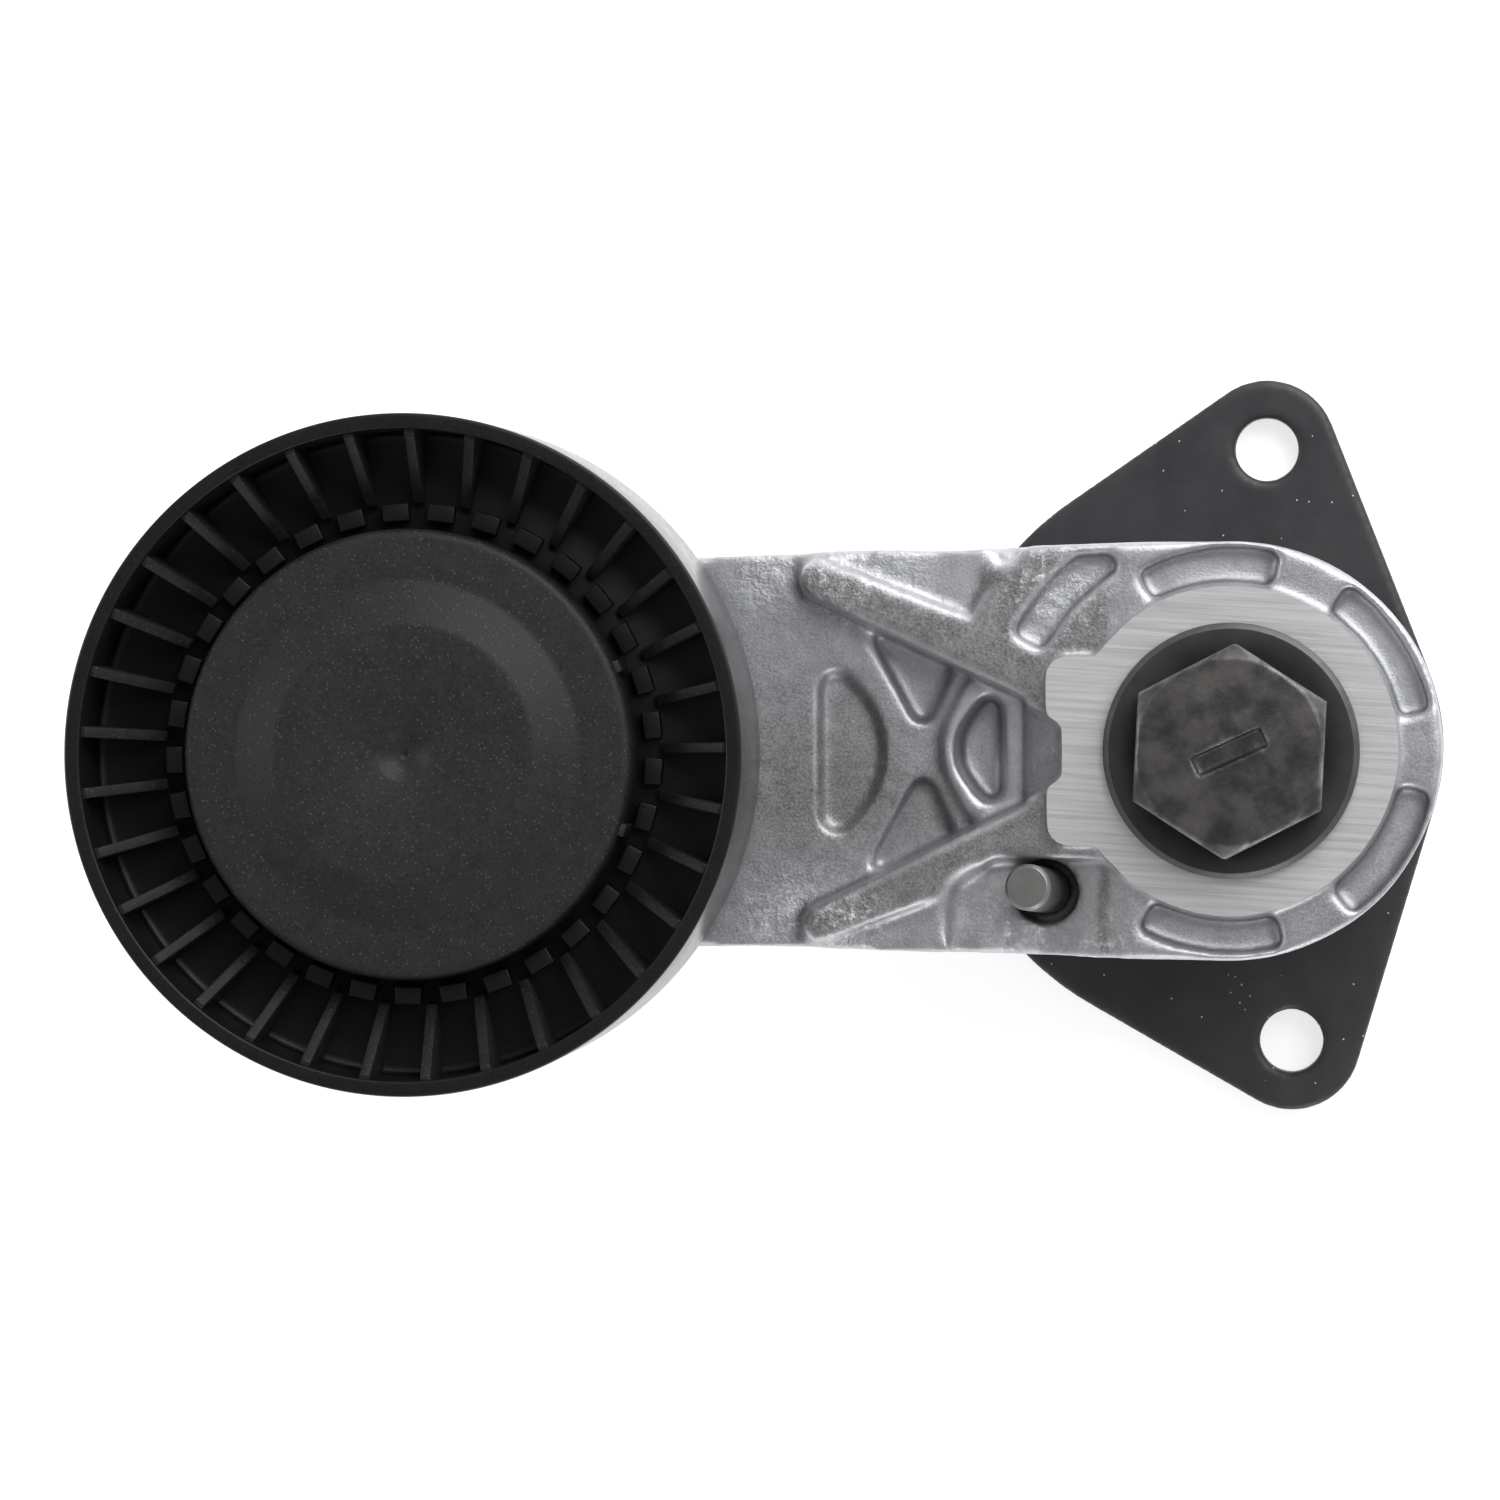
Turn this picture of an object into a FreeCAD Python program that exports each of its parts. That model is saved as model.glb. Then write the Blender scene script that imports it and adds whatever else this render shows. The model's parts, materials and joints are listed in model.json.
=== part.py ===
"""Automatic belt tensioner: a sprung arm that carries an idler pulley.

Millimetres. The origin is on the arm's pivot axis, in the face that sits on the engine.
+Z runs along the pivot towards the bolt head, -X towards the pulley.
"""
import FreeCAD
import Part
import math
import os

Vector = FreeCAD.Vector

# ---- driving dimensions ----------------------------------------------------------------
arm_length = 104.75          # pivot axis to pulley axis
hub_radius = 27.1            # outside of the arm's hub
arm_end_radius = 24.6        # rounded end of the arm, under the pulley
hub_face_z = 40.0            # machined front face of the hub
hub_rise = 6.0               # hub face above the front of the arm's web
web_thickness = 10.0
cast_drop = 0.6              # as-cast tops lie this far behind the machined face

pulley_radius = 43.5
pulley_width = 25.0
pulley_clearance = 3.0       # between the arm's web and the back of the pulley
rim_wall = 2.0
pulley_ribs = 33
rib_thickness = 1.35

plate_thickness = 4.0
plate_radius = 40.0          # round left side of the plate, about the pivot
ear_radius = 9.3
ear_hole_distance = 40.2     # ear holes to the pivot axis
ear_hole_radius = 4.25
ear_azimuths = (84.2, 280.2)

bolt_radius = 8.0            # pivot bolt shank
hex_across_flats = 24.0
hex_height = 9.0
hex_turn = -3.0              # the hexagon as tightened, from its corners on the Y axis
sleeve_wall = 2.7            # pivot sleeve
washer_radius = 16.5
washer_thickness = 2.0

case_wall = 1.7              # spring case
case_floor = 2.0
spring_wire = 4.4
spring_turns = 3.5
damper_thickness = 1.0

bearing_bore = 8.5           # radii of a 17 x 40 x 12 ball bearing
bearing_outside = 20.0
bearing_width = 12.0
ball_radius = 3.37
ball_count = 8
pulley_bolt_radius = 5.0
pulley_hex_across_flats = 15.0

pin_radius = 3.0
pin_azimuth = 213.7          # top of the stop pin, about the pivot
pin_lean = (0.14, -0.07)     # shift in x and y for each millimetre down the pin
travel_degrees = 32.0        # arm travel between its two stops

# ---- clearances ------------------------------------------------------------------------
running_gap = 0.05           # radial, between a shaft and its bush
seat_gap = 0.02              # radial, on a pressed seat
face_gap = 0.1               # axial, on a thrust face
free_gap = 0.5               # between pieces that only pass each other
stop_gap_degrees = 0.5


# ---- shapes ----------------------------------------------------------------------------
def cylinder(radius, z_low, z_high, x=0.0, y=0.0):
    return Part.makeCylinder(radius, z_high - z_low, Vector(x, y, z_low))


def tube(outer, inner, z_low, z_high, x=0.0, y=0.0):
    return cylinder(outer, z_low, z_high, x, y).cut(cylinder(inner, z_low, z_high, x, y))


def turned(profile, x=0.0):
    """Solid of revolution about the vertical axis at x, from (radius, z) corners."""
    corners = [Vector(x + r, 0, z) for r, z in profile]
    face = Part.Face(Part.makePolygon(corners + corners[:1]))
    return face.revolve(Vector(x, 0, 0), Vector(0, 0, 1), 360)


def polar(radius, azimuth, z=0.0):
    angle = math.radians(azimuth)
    return Vector(radius * math.cos(angle), radius * math.sin(angle), z)


def outline(circles, z, growth=0.0):
    """Wire round a list of (x, y, radius) circles, counter-clockwise, joined by tangents."""
    count = len(circles)
    normals = []
    for i in range(count):
        x1, y1, r1 = circles[i]
        x2, y2, r2 = circles[(i + 1) % count]
        distance = math.hypot(x2 - x1, y2 - y1)
        along = ((x2 - x1) / distance, (y2 - y1) / distance)
        cosine = (r1 - r2) / distance
        sine = math.sqrt(1.0 - cosine * cosine)
        normals.append((along[0] * cosine + along[1] * sine,
                        along[1] * cosine - along[0] * sine))
    edges = []
    for i in range(count):
        x, y, r = circles[i]
        radius = r + growth
        start = math.atan2(normals[i - 1][1], normals[i - 1][0])
        end = math.atan2(normals[i][1], normals[i][0])
        sweep = (end - start) % (2 * math.pi)
        points = []
        for angle in (start, start + sweep / 2, start + sweep):
            points.append(Vector(x + radius * math.cos(angle), y + radius * math.sin(angle), z))
        edges.append(Part.Arc(*points).toShape())
        x2, y2, r2 = circles[(i + 1) % count]
        far = Vector(x2 + (r2 + growth) * normals[i][0], y2 + (r2 + growth) * normals[i][1], z)
        edges.append(Part.makeLine(points[2], far))
    return Part.Wire(edges)


def block(circles, z_low, z_high, draft=0.0):
    """Prism on an outline. A draft widens it at the bottom by that much on each side."""
    if draft == 0.0:
        face = Part.Face(outline(circles, z_low))
        return face.extrude(Vector(0, 0, z_high - z_low))
    wires = [outline(circles, z_low, draft), outline(circles, z_high)]
    return Part.makeLoft(wires, True, True)


def pocket(circles, z_floor, z_top, draft):
    """Cutter that narrows towards its floor. It is full size at z_top and runs on past it."""
    wires = [outline(circles, z_floor, -draft), outline(circles, z_top)]
    return Part.makeLoft(wires, True, True).fuse(block(circles, z_top, z_top + 5))


def mirrored(circles):
    """The same circles on the other side of the X axis, still counter-clockwise."""
    return [(x, -y, r) for x, y, r in reversed(circles)]


def sector(r_in, r_out, azimuth_low, azimuth_high, z_low, z_high, corner=0.0):
    """Piece of a ring between two azimuths."""
    corners = [(r_in, z_low), (r_out, z_low), (r_out, z_high), (r_in, z_high)]
    points = [polar(r, azimuth_low, z) for r, z in corners]
    face = Part.Face(Part.makePolygon(points + points[:1]))
    solid = face.revolve(Vector(0, 0, 0), Vector(0, 0, 1), azimuth_high - azimuth_low)
    if corner > 0.0:
        upright = [e for e in solid.Edges if abs(e.tangentAt(e.FirstParameter).z) > 0.99]
        solid = solid.makeFillet(corner, upright)
    return solid


def hexagon(across_flats, z_low, z_high, x=0.0, turn=0.0):
    corner = across_flats / math.sqrt(3)
    points = [polar(corner, 90 + turn + 60 * i, z_low) + Vector(x, 0, 0) for i in range(6)]
    prism = Part.Face(Part.makePolygon(points + points[:1])).extrude(Vector(0, 0, z_high - z_low))
    drop = corner - across_flats / 2
    dome = turned([(0, z_low), (corner, z_low), (corner, z_high - drop * 0.6),
                   (corner - drop, z_high), (0, z_high)], x)
    return prism.common(dome)


def ring_of(solid, count, x=0.0, start=0.0):
    """Copies of a solid, evenly spaced round the vertical axis at x."""
    copies = []
    for i in range(count):
        copy = solid.copy()
        copy.rotate(Vector(x, 0, 0), Vector(0, 0, 1), start + 360.0 * i / count)
        copies.append(copy)
    return copies


def joined(first, others):
    return first.fuse(others).removeSplitter()


# ---- levels and radii that follow from the driving dimensions ----------------------------
web_z = hub_face_z - hub_rise
arm_back_z = web_z - web_thickness
cast_top_z = hub_face_z - cast_drop
machined_radius = hub_radius - 5.9
plate_waist_radius = hub_radius + 0.5        # right side of the plate, about the pivot
case_radius = hub_radius - 1.9
pin_top = polar(hub_radius + 4.4, pin_azimuth, hub_face_z + 3.0)
sleeve_radius = bolt_radius + 0.3 + sleeve_wall
bush_wall = 1.95
bush_seat_radius = sleeve_radius + running_gap + bush_wall
barrel_radius = bush_seat_radius + 3.0       # wall of the arm's barrel, inside the spring
bush_flange_thickness = 1.3
front_flange_radius = washer_radius - 0.8
sleeve_top_z = hub_face_z + 0.2 + face_gap
washer_top_z = sleeve_top_z + washer_thickness

case_inside = case_radius - case_wall
case_floor_z = plate_thickness + case_floor
sleeve_bottom_z = case_floor_z + 6.0
barrel_end_z = sleeve_bottom_z + 2.0
case_top_z = arm_back_z - free_gap
hub_cavity_radius = case_inside + 0.5
hub_roof_z = web_z - 0.5
damper_outside = case_inside - face_gap
spring_mean_radius = (barrel_radius + damper_outside - damper_thickness) / 2
spring_bottom_z = case_floor_z + 0.4 + spring_wire / 2
spring_top_z = hub_roof_z - 0.3 - spring_wire / 2
tang_depth = 2.2

pulley_back_z = web_z + pulley_clearance
pulley_front_z = pulley_back_z + pulley_width
pulley_web = 2.5
bearing_back_z = pulley_back_z + 2.5
bearing_front_z = bearing_back_z + bearing_width
bearing_mid_z = bearing_back_z + bearing_width / 2
pulley_floor_z = bearing_mid_z + 4.5         # front face of the pulley's web
ball_circle = (bearing_bore + bearing_outside) / 2
inner_ring_outside = ball_circle - 2.15
outer_ring_inside = ball_circle + 2.15
shield_thickness = 1.0
boss_top_z = bearing_back_z - shield_thickness
wheel_lip_radius = bearing_outside - 1.4
wheel_hub_radius = bearing_outside + 3.3
cap_radius = bearing_outside + 8.9
cap_thickness = 2.0
cap_seat_radius = cap_radius - cap_thickness - 0.2
rib_inner_radius = cap_radius + 3.4

nose_x = hub_radius - 0.5                    # where the ribs and the hub's neck come together
rib_end_x = arm_length - pulley_radius - 7.85
web_span = rib_end_x - nose_x


# ---- fixed pieces ------------------------------------------------------------------------
def ear_points():
    return [polar(ear_hole_distance, azimuth) for azimuth in ear_azimuths]


def mounting_plate():
    upper, lower = ear_points()
    circles = [(0, 0, plate_waist_radius), (upper.x, upper.y, ear_radius),
               (0, 0, plate_radius), (lower.x, lower.y, ear_radius)]
    plate = block(circles, 0, plate_thickness)
    for ear in (upper, lower):
        plate = plate.cut(cylinder(ear_hole_radius, 0, plate_thickness, ear.x, ear.y))
    plate = plate.cut(cylinder(threaded_seat_radius, 0, plate_thickness))
    for point in rivet_points():
        plate = plate.cut(rivet_hole(point))
    return plate


threaded_seat_radius = bolt_radius + 2.0
threaded_floor = 1.5


def threaded_boss():
    """Welded-in nut: its skirt fills the plate's centre hole and its collar carries the sleeve."""
    body = turned([(0, 0), (threaded_seat_radius - seat_gap, 0),
                   (threaded_seat_radius - seat_gap, plate_thickness),
                   (sleeve_radius, plate_thickness), (sleeve_radius, sleeve_bottom_z),
                   (0, sleeve_bottom_z)])
    return body.cut(cylinder(bolt_radius + running_gap, threaded_floor, sleeve_bottom_z))


rivet_radius = 2.0
rivet_head_radius = 2.6
rivet_head = 1.2


def rivet_points():
    middle = (sleeve_radius + spring_mean_radius - spring_wire / 2) / 2
    return [polar(middle, 30 + 120 * i) for i in range(3)]


def rivet_hole(point):
    """Straight hole with a countersink in the mounting face."""
    sink = Part.makeCone(rivet_head_radius + 0.6, rivet_radius, 1.4, point)
    return cylinder(rivet_radius, 0, case_floor_z, point.x, point.y).fuse(sink)


def case_rivets():
    rivets = []
    for point in rivet_points():
        shank = cylinder(rivet_radius - seat_gap, 0, case_floor_z, point.x, point.y)
        sink = Part.makeCone(rivet_head_radius + 0.6 - seat_gap, rivet_radius - seat_gap, 1.4, point)
        head = cylinder(rivet_head_radius, case_floor_z, case_floor_z + rivet_head, point.x, point.y)
        rivets.append(joined(shank, [sink, head]))
    return Part.makeCompound(rivets)


def pin_at(z):
    drop = pin_top.z - z
    return Vector(pin_top.x + pin_lean[0] * drop, pin_top.y + pin_lean[1] * drop, z)


stop_lug_bottom_z = plate_thickness + 4.0
stop_lug_top_z = arm_back_z - 6.0
stop_lug_reach = 7.5
stop_lug_degrees = 15.5


def stop_lug_azimuths():
    """The lug's two side faces: one meets the stop pin, the other the arm's travel boss."""
    pin = pin_at(stop_lug_top_z)
    distance = math.hypot(pin.x, pin.y)
    azimuth = math.degrees(math.atan2(pin.y, pin.x)) % 360
    half_pin = math.degrees(math.asin((pin_radius + 0.1) / distance))
    face = azimuth - half_pin - stop_gap_degrees
    return face - stop_lug_degrees, face


def spring_case():
    cup = tube(case_radius, case_inside, plate_thickness, case_top_z)
    floor = tube(case_radius, sleeve_radius + 0.4, plate_thickness, case_floor_z)
    low, high = stop_lug_azimuths()
    lug = sector(case_inside + case_wall / 2, case_radius + stop_lug_reach, low, high,
                 stop_lug_bottom_z, stop_lug_top_z)
    case = joined(cup, [floor, lug])
    for point in rivet_points():
        case = case.cut(rivet_hole(point))
    tang_hole = cylinder(spring_wire / 2 + 0.1, plate_thickness, case_floor_z, spring_mean_radius)
    return case.cut(tang_hole)


def pivot_sleeve():
    return tube(sleeve_radius, bolt_radius + 0.3, sleeve_bottom_z, sleeve_top_z)


def pivot_bolt():
    tip_z = threaded_floor + 1.0
    head_top_z = washer_top_z + hex_height
    shank = turned([(0, tip_z), (bolt_radius - 1.2, tip_z), (bolt_radius, tip_z + 1.2),
                    (bolt_radius, washer_top_z), (0, washer_top_z)])
    head = hexagon(hex_across_flats, washer_top_z, head_top_z, 0, hex_turn)
    slot = Part.makeBox(9.6, 2.6, 0.8, Vector(-4.8, -1.3, head_top_z - 0.8))
    slot.rotate(Vector(0, 0, 0), Vector(0, 0, 1), 24)
    return joined(shank, [head]).cut(slot)


def retaining_washer():
    chamfer = 0.8
    return turned([(bolt_radius + 0.3, sleeve_top_z), (washer_radius, sleeve_top_z),
                   (washer_radius, washer_top_z - chamfer / 2),
                   (washer_radius - chamfer, washer_top_z), (bolt_radius + 0.3, washer_top_z)])


def torsion_spring():
    """Round-wire coil. One tang drops into the case's floor, the other rises into the arm."""
    height = spring_top_z - spring_bottom_z
    helix = Part.makeHelix(height / spring_turns, height, spring_mean_radius)
    helix.translate(Vector(0, 0, spring_bottom_z))
    start = Vector(spring_mean_radius, 0, spring_bottom_z)
    section = Part.Wire(Part.makeCircle(spring_wire / 2, start, Vector(0, 1, 0)))
    coil = Part.Wire(helix.Edges).makePipeShell([section], True, True)
    end = polar(spring_mean_radius, 360 * spring_turns, spring_top_z)
    pieces = []
    for point, z_far in ((start, plate_thickness + face_gap), (end, hub_roof_z + tang_depth)):
        z_low = min(point.z, z_far)
        z_high = max(point.z, z_far)
        pieces.append(cylinder(spring_wire / 2, z_low, z_high, point.x, point.y))
        pieces.append(Part.makeSphere(spring_wire / 2, point))
    return coil.fuse(pieces)


# ---- the arm and what is fixed to it -------------------------------------------------------
# Pockets in the web, as (distance beyond the nose, y, radius) of the circles they go round.
leaf_pocket = [(30.9, 0.0, 12.5), (24.9, 8.2, 2.6), (24.9, -8.2, 2.6)]
side_pocket = [(13.7, 5.4, 2.0), (10.3, 10.5, 1.0), (19.3, 14.4, 1.4)]
pocket_rim = [(1.6, 5.4, 1.6), (6.0, 6.9, 2.2), (1.8, 0.2, 9.1), (6.0, -6.5, 2.2), (1.6, -5.2, 1.6)]
deep_pocket = [(5.0, 5.2, 2.1), (2.2, 0.2, 7.3), (5.0, -4.8, 2.1)]
pattern_length = 26.8        # web span that the pockets are laid out for

shoulder_radius = hub_radius + 10.4          # raised part of the arm, about the pivot
hub_pocket_radii = (hub_radius - 5.3, hub_radius - 0.9)
corner_pocket_radii = (hub_radius + 0.3, hub_radius + 5.1)
hub_pocket_azimuths = ((76.0, 118.0), (11.0, 55.0), (-54.0, -12.0), (-118.0, -75.0))
corner_pocket_azimuths = (121.0, 152.0)
shoulder_pocket_depth = 2.4
flank_drop = 1.0             # the flanks outside the ribs, below the cast tops beside the shoulder
flank_rise = 3.2             # the same flanks above the web, at the far ends of the ribs
damper_tab_azimuth = 65.0
damper_tab_width = 6.0
bay_floor_z = web_z + 1.4
travel_boss_degrees = 13.0
cell_wall = 2.6              # between the hollows in the back of the arm


def arm_half_width(x):
    """Half the width of the arm's outline at a distance x from the pivot."""
    return hub_radius + (arm_end_radius - hub_radius) * x / arm_length


def on_web(circles, scale=min(1.0, web_span / pattern_length)):
    """Web pockets at their place between the nose and the ends of the ribs."""
    start = nose_x + (web_span - pattern_length * scale) / 2
    return [(-start - x * scale, y * scale, r * scale) for x, y, r in circles]


def arm_casting():
    sides = [(0, 0, hub_radius), (-arm_length, 0, arm_end_radius)]
    body = block(sides, arm_back_z, web_z)
    shoulder = cylinder(shoulder_radius, web_z, cast_top_z).common(block(sides, web_z, cast_top_z))
    rib = [(-rib_end_x, arm_half_width(rib_end_x) - 3.4, 2.2), (-nose_x + 4.6, 9.0, 3.7)]
    ribs = [block(rib, web_z, cast_top_z, 0.8), block(mirrored(rib), web_z, cast_top_z, 0.8)]
    # the web lies open between the inner edges of the two ribs
    far_x = rib_end_x + 8.6
    far_y = rib[0][1] + 1.4
    opening = [Vector(-nose_x, 6.9, web_z), Vector(-far_x, far_y, web_z),
               Vector(-far_x, -far_y, web_z), Vector(-nose_x, -6.9, web_z)]
    opening_face = Part.Face(Part.makePolygon(opening + opening[:1]))
    opening_space = opening_face.extrude(Vector(0, 0, hub_rise + 5))
    shoulder = shoulder.cut(opening_space)
    flanks = flank_wedge().common(block(sides, web_z, cast_top_z)).cut(opening_space)
    neck = [(-machined_radius + 9.2, -9.6, 2.5), (-machined_radius + 9.2, 9.6, 2.5),
            (-machined_radius, 9.6, 2.5), (-machined_radius, -9.6, 2.5)]
    face = cylinder(machined_radius, cast_top_z, hub_face_z).fuse(block(neck, cast_top_z, hub_face_z))
    rim = block(on_web(pocket_rim), web_z, web_z + 1.4, 0.7)
    boss_radius = inner_ring_outside - 0.1
    pulley_boss = turned([(0, web_z), (boss_radius + 4, web_z), (boss_radius, web_z + 3),
                          (boss_radius, boss_top_z), (0, boss_top_z)], -arm_length)
    barrel = cylinder(barrel_radius, barrel_end_z, arm_back_z)
    arm = joined(body, [shoulder, flanks, face, rim, pulley_boss, barrel, travel_boss()] + ribs)
    return arm.cut(arm_cutters()).removeSplitter()


def flank_wedge():
    """Slope across the whole arm that rises from the ends of the ribs to the shoulder."""
    near_x = shoulder_radius - 8.0
    side = [Vector(-rib_end_x - 3.0, -hub_radius, web_z),
            Vector(-rib_end_x + 1.0, -hub_radius, web_z + flank_rise),
            Vector(-near_x, -hub_radius, cast_top_z - flank_drop),
            Vector(-near_x, -hub_radius, web_z)]
    return Part.Face(Part.makePolygon(side + side[:1])).extrude(Vector(0, 2 * hub_radius, 0))


def travel_boss():
    """Block under the arm that meets the case's lug at the end of the travel."""
    lug_low, _ = stop_lug_azimuths()
    face = lug_low - travel_degrees - stop_gap_degrees
    return sector(case_radius + 1.5, case_radius + stop_lug_reach, face - travel_boss_degrees,
                  face, stop_lug_bottom_z + 2, arm_back_z)


def nose_ramp():
    """Slope from the machined face down towards the deep pocket's rim."""
    ramp_end_x = nose_x - 5.4
    low_x = nose_x + 5.4
    circles = [(-ramp_end_x - 1.7, -2.2, 1.7), (-ramp_end_x - 1.7, 2.2, 1.7),
               (-nose_x - 1.4, 4.9, 1.7), (-nose_x - 1.4, -4.9, 1.7)]
    prism = block(circles, web_z + 2, hub_face_z + 5)
    slope = [Vector(-low_x, -10, web_z + 1.4), Vector(-nose_x, -10, web_z + 2.6),
             Vector(-ramp_end_x, -10, hub_face_z), Vector(-ramp_end_x, -10, hub_face_z + 6),
             Vector(-low_x, -10, hub_face_z + 6)]
    above = Part.Face(Part.makePolygon(slope + slope[:1])).extrude(Vector(0, 20, 0))
    return prism.common(above)


def bay_space():
    """Room above the pin bay's floor, which slopes up to the hub's face."""
    rise_x = hub_radius - 2.6
    top_x = hub_radius - 13.5
    side = [Vector(-shoulder_radius - 5, 0, bay_floor_z), Vector(-rise_x, 0, bay_floor_z),
            Vector(-top_x, 0, cast_top_z), Vector(-top_x, 0, cast_top_z + 6),
            Vector(-shoulder_radius - 5, 0, cast_top_z + 6)]
    across = Vector(0, -hub_radius - 10, 0)
    return Part.Face(Part.makePolygon(side + side[:1])).extrude(across)


def arm_cutters():
    cutters = [nose_ramp()]
    side = on_web(side_pocket)
    draft = side[1][2] * 0.8
    cutters.append(pocket(on_web(leaf_pocket), web_z - 1.6, web_z, draft))
    cutters.append(pocket(side, web_z - 2.0, web_z, draft))
    cutters.append(pocket(mirrored(side), web_z - 2.0, web_z, draft))
    cutters.append(pocket(on_web(deep_pocket), web_z - 3.5, web_z + 1.4, draft))
    bay = [(-hub_radius + 9.7, -17.6, 3.6), (-nose_x - 3.9, -14.8, 1.0),
           (-shoulder_radius + 1.5, -18.0, 1.0), (-shoulder_radius + 1.5, -hub_radius - 5, 1.0),
           (-hub_radius + 13.6, -hub_radius - 1, 1.0)]
    cutters.append(pocket(bay, bay_floor_z, cast_top_z, 0.6).common(bay_space()))
    inside_sides = block([(0, 0, hub_radius - 1.2), (-arm_length, 0, arm_end_radius - 1.2)],
                         arm_back_z, hub_face_z)
    pocket_floor_z = cast_top_z - shoulder_pocket_depth
    for low, high in hub_pocket_azimuths:
        cutters.append(sector(*hub_pocket_radii, low, high, pocket_floor_z, hub_face_z + 1, 1.2))
    corner_pocket = sector(*corner_pocket_radii, *corner_pocket_azimuths, pocket_floor_z,
                           hub_face_z + 1, 1.2)
    cutters.append(corner_pocket.common(inside_sides))
    # hub: spring space, bore for the bushes, sockets for the spring's tang and the damper's tab
    cutters.append(tube(hub_cavity_radius, barrel_radius, arm_back_z, hub_roof_z))
    cutters.append(cylinder(bush_seat_radius, barrel_end_z, hub_face_z))
    cutters.append(cylinder(front_flange_radius + 0.3, hub_face_z - bush_flange_thickness + 0.1,
                            hub_face_z))
    tang = polar(spring_mean_radius, 360 * spring_turns)
    cutters.append(cylinder(spring_wire / 2 + 0.2, hub_roof_z, hub_roof_z + tang_depth + 0.3,
                            tang.x, tang.y))
    half_tab = math.degrees((damper_tab_width / 2 + 0.3) / damper_outside)
    cutters.append(sector(damper_outside - damper_thickness - 0.2, damper_outside + 0.2,
                          damper_tab_azimuth - half_tab, damper_tab_azimuth + half_tab,
                          hub_roof_z, hub_roof_z + tang_depth))
    # stop pin: leaning bore, with a wider mouth
    cutters.append(pin_solid(pin_radius + seat_gap, arm_back_z - 1, pin_top.z + 1))
    mouth = pin_at(web_z - 4)
    cutters.append(cylinder(pin_radius + 1.3, mouth.z, cast_top_z - 1.5, mouth.x + 0.2, mouth.y))
    # pulley bolt's thread, and the hollows in the back of the arm
    cutters.append(cylinder(pulley_bolt_radius + running_gap, arm_back_z, boss_top_z, -arm_length))
    cell_start = shoulder_radius + 2.0
    cell_end = arm_length - inner_ring_outside - 6.0
    cell_length = (cell_end - cell_start - cell_wall) / 2
    for start in (cell_start, cell_start + cell_length + cell_wall):
        end = start + cell_length
        outer_y = arm_half_width(end) - 3.5
        cell = [(-x + 3.0 * side, y, 3.0) for x, y, side in (
            (start, 5.0, -1), (start, outer_y - 3.0, -1), (end, outer_y - 3.0, 1), (end, 5.0, 1))]
        for circles in (cell, mirrored(cell)):
            cutters.append(block(circles, arm_back_z, web_z - 4.6))
    return cutters


def pin_solid(radius, z_low, z_high):
    bottom = pin_at(z_low)
    axis = pin_at(z_high) - bottom
    return Part.makeCylinder(radius, axis.Length, bottom, axis)


def stop_pin():
    pin = pin_solid(pin_radius, stop_lug_bottom_z + 1.5, pin_top.z)
    rims = [e for e in pin.Edges if e.Closed]
    return pin.makeChamfer(0.4, rims)


def front_bush():
    flange_z = hub_face_z - bush_flange_thickness + 0.2
    end_z = hub_face_z - 9
    inside = sleeve_radius + running_gap
    seat = bush_seat_radius - seat_gap
    return turned([(inside, end_z), (seat, end_z), (seat, flange_z), (front_flange_radius, flange_z),
                   (front_flange_radius, sleeve_top_z - face_gap),
                   (inside, sleeve_top_z - face_gap)])


def rear_bush():
    flange_z = barrel_end_z - bush_flange_thickness
    end_z = barrel_end_z + 8
    inside = sleeve_radius + running_gap
    seat = bush_seat_radius - seat_gap
    return turned([(inside, flange_z), (barrel_radius, flange_z),
                   (barrel_radius, barrel_end_z - seat_gap), (seat, barrel_end_z - seat_gap),
                   (seat, end_z), (inside, end_z)])


def damper_band():
    """Split friction ring that rubs in the case; its tab takes it round with the arm."""
    inside = damper_outside - damper_thickness
    opening = 16.0
    band = sector(inside, damper_outside, damper_tab_azimuth + 180 + opening / 2,
                  damper_tab_azimuth + 540 - opening / 2, case_floor_z + 2, case_top_z - 0.5)
    half_tab = math.degrees(damper_tab_width / 2 / damper_outside)
    tab = sector(inside, damper_outside, damper_tab_azimuth - half_tab,
                 damper_tab_azimuth + half_tab, case_top_z - 2, hub_roof_z + tang_depth - 0.3)
    return joined(band, [tab])


def pulley_bolt():
    flange_top_z = bearing_front_z + 1.8
    flange = inner_ring_outside - 1.1
    tip_z = arm_back_z + 1.5
    shank = turned([(0, tip_z), (pulley_bolt_radius - 1, tip_z), (pulley_bolt_radius, tip_z + 1),
                    (pulley_bolt_radius, bearing_front_z), (flange, bearing_front_z),
                    (flange, bearing_front_z + 0.8), (flange - 1.6, flange_top_z),
                    (0, flange_top_z)], -arm_length)
    head = hexagon(pulley_hex_across_flats, flange_top_z, flange_top_z + 4, -arm_length)
    return joined(shank, [head])


def rear_shield():
    """Pressed disc clamped behind the inner ring; its skirt stands clear of the outer ring."""
    z = boss_top_z
    bend = inner_ring_outside + 1.1
    edge = wheel_lip_radius - 0.4
    return turned([(pulley_bolt_radius + 0.2, z), (inner_ring_outside, z), (bend, z - 0.4),
                   (edge, z - 0.4), (edge, z + 0.4), (bend, z + 0.4),
                   (inner_ring_outside, z + shield_thickness),
                   (pulley_bolt_radius + 0.2, z + shield_thickness)], -arm_length)


def adapter_sleeve():
    return tube(bearing_bore - seat_gap, pulley_bolt_radius + 0.2, bearing_back_z,
                bearing_front_z - 0.1, -arm_length)


def race_groove():
    return Part.makeTorus(ball_circle, ball_radius + running_gap, Vector(-arm_length, 0, bearing_mid_z))


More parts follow.
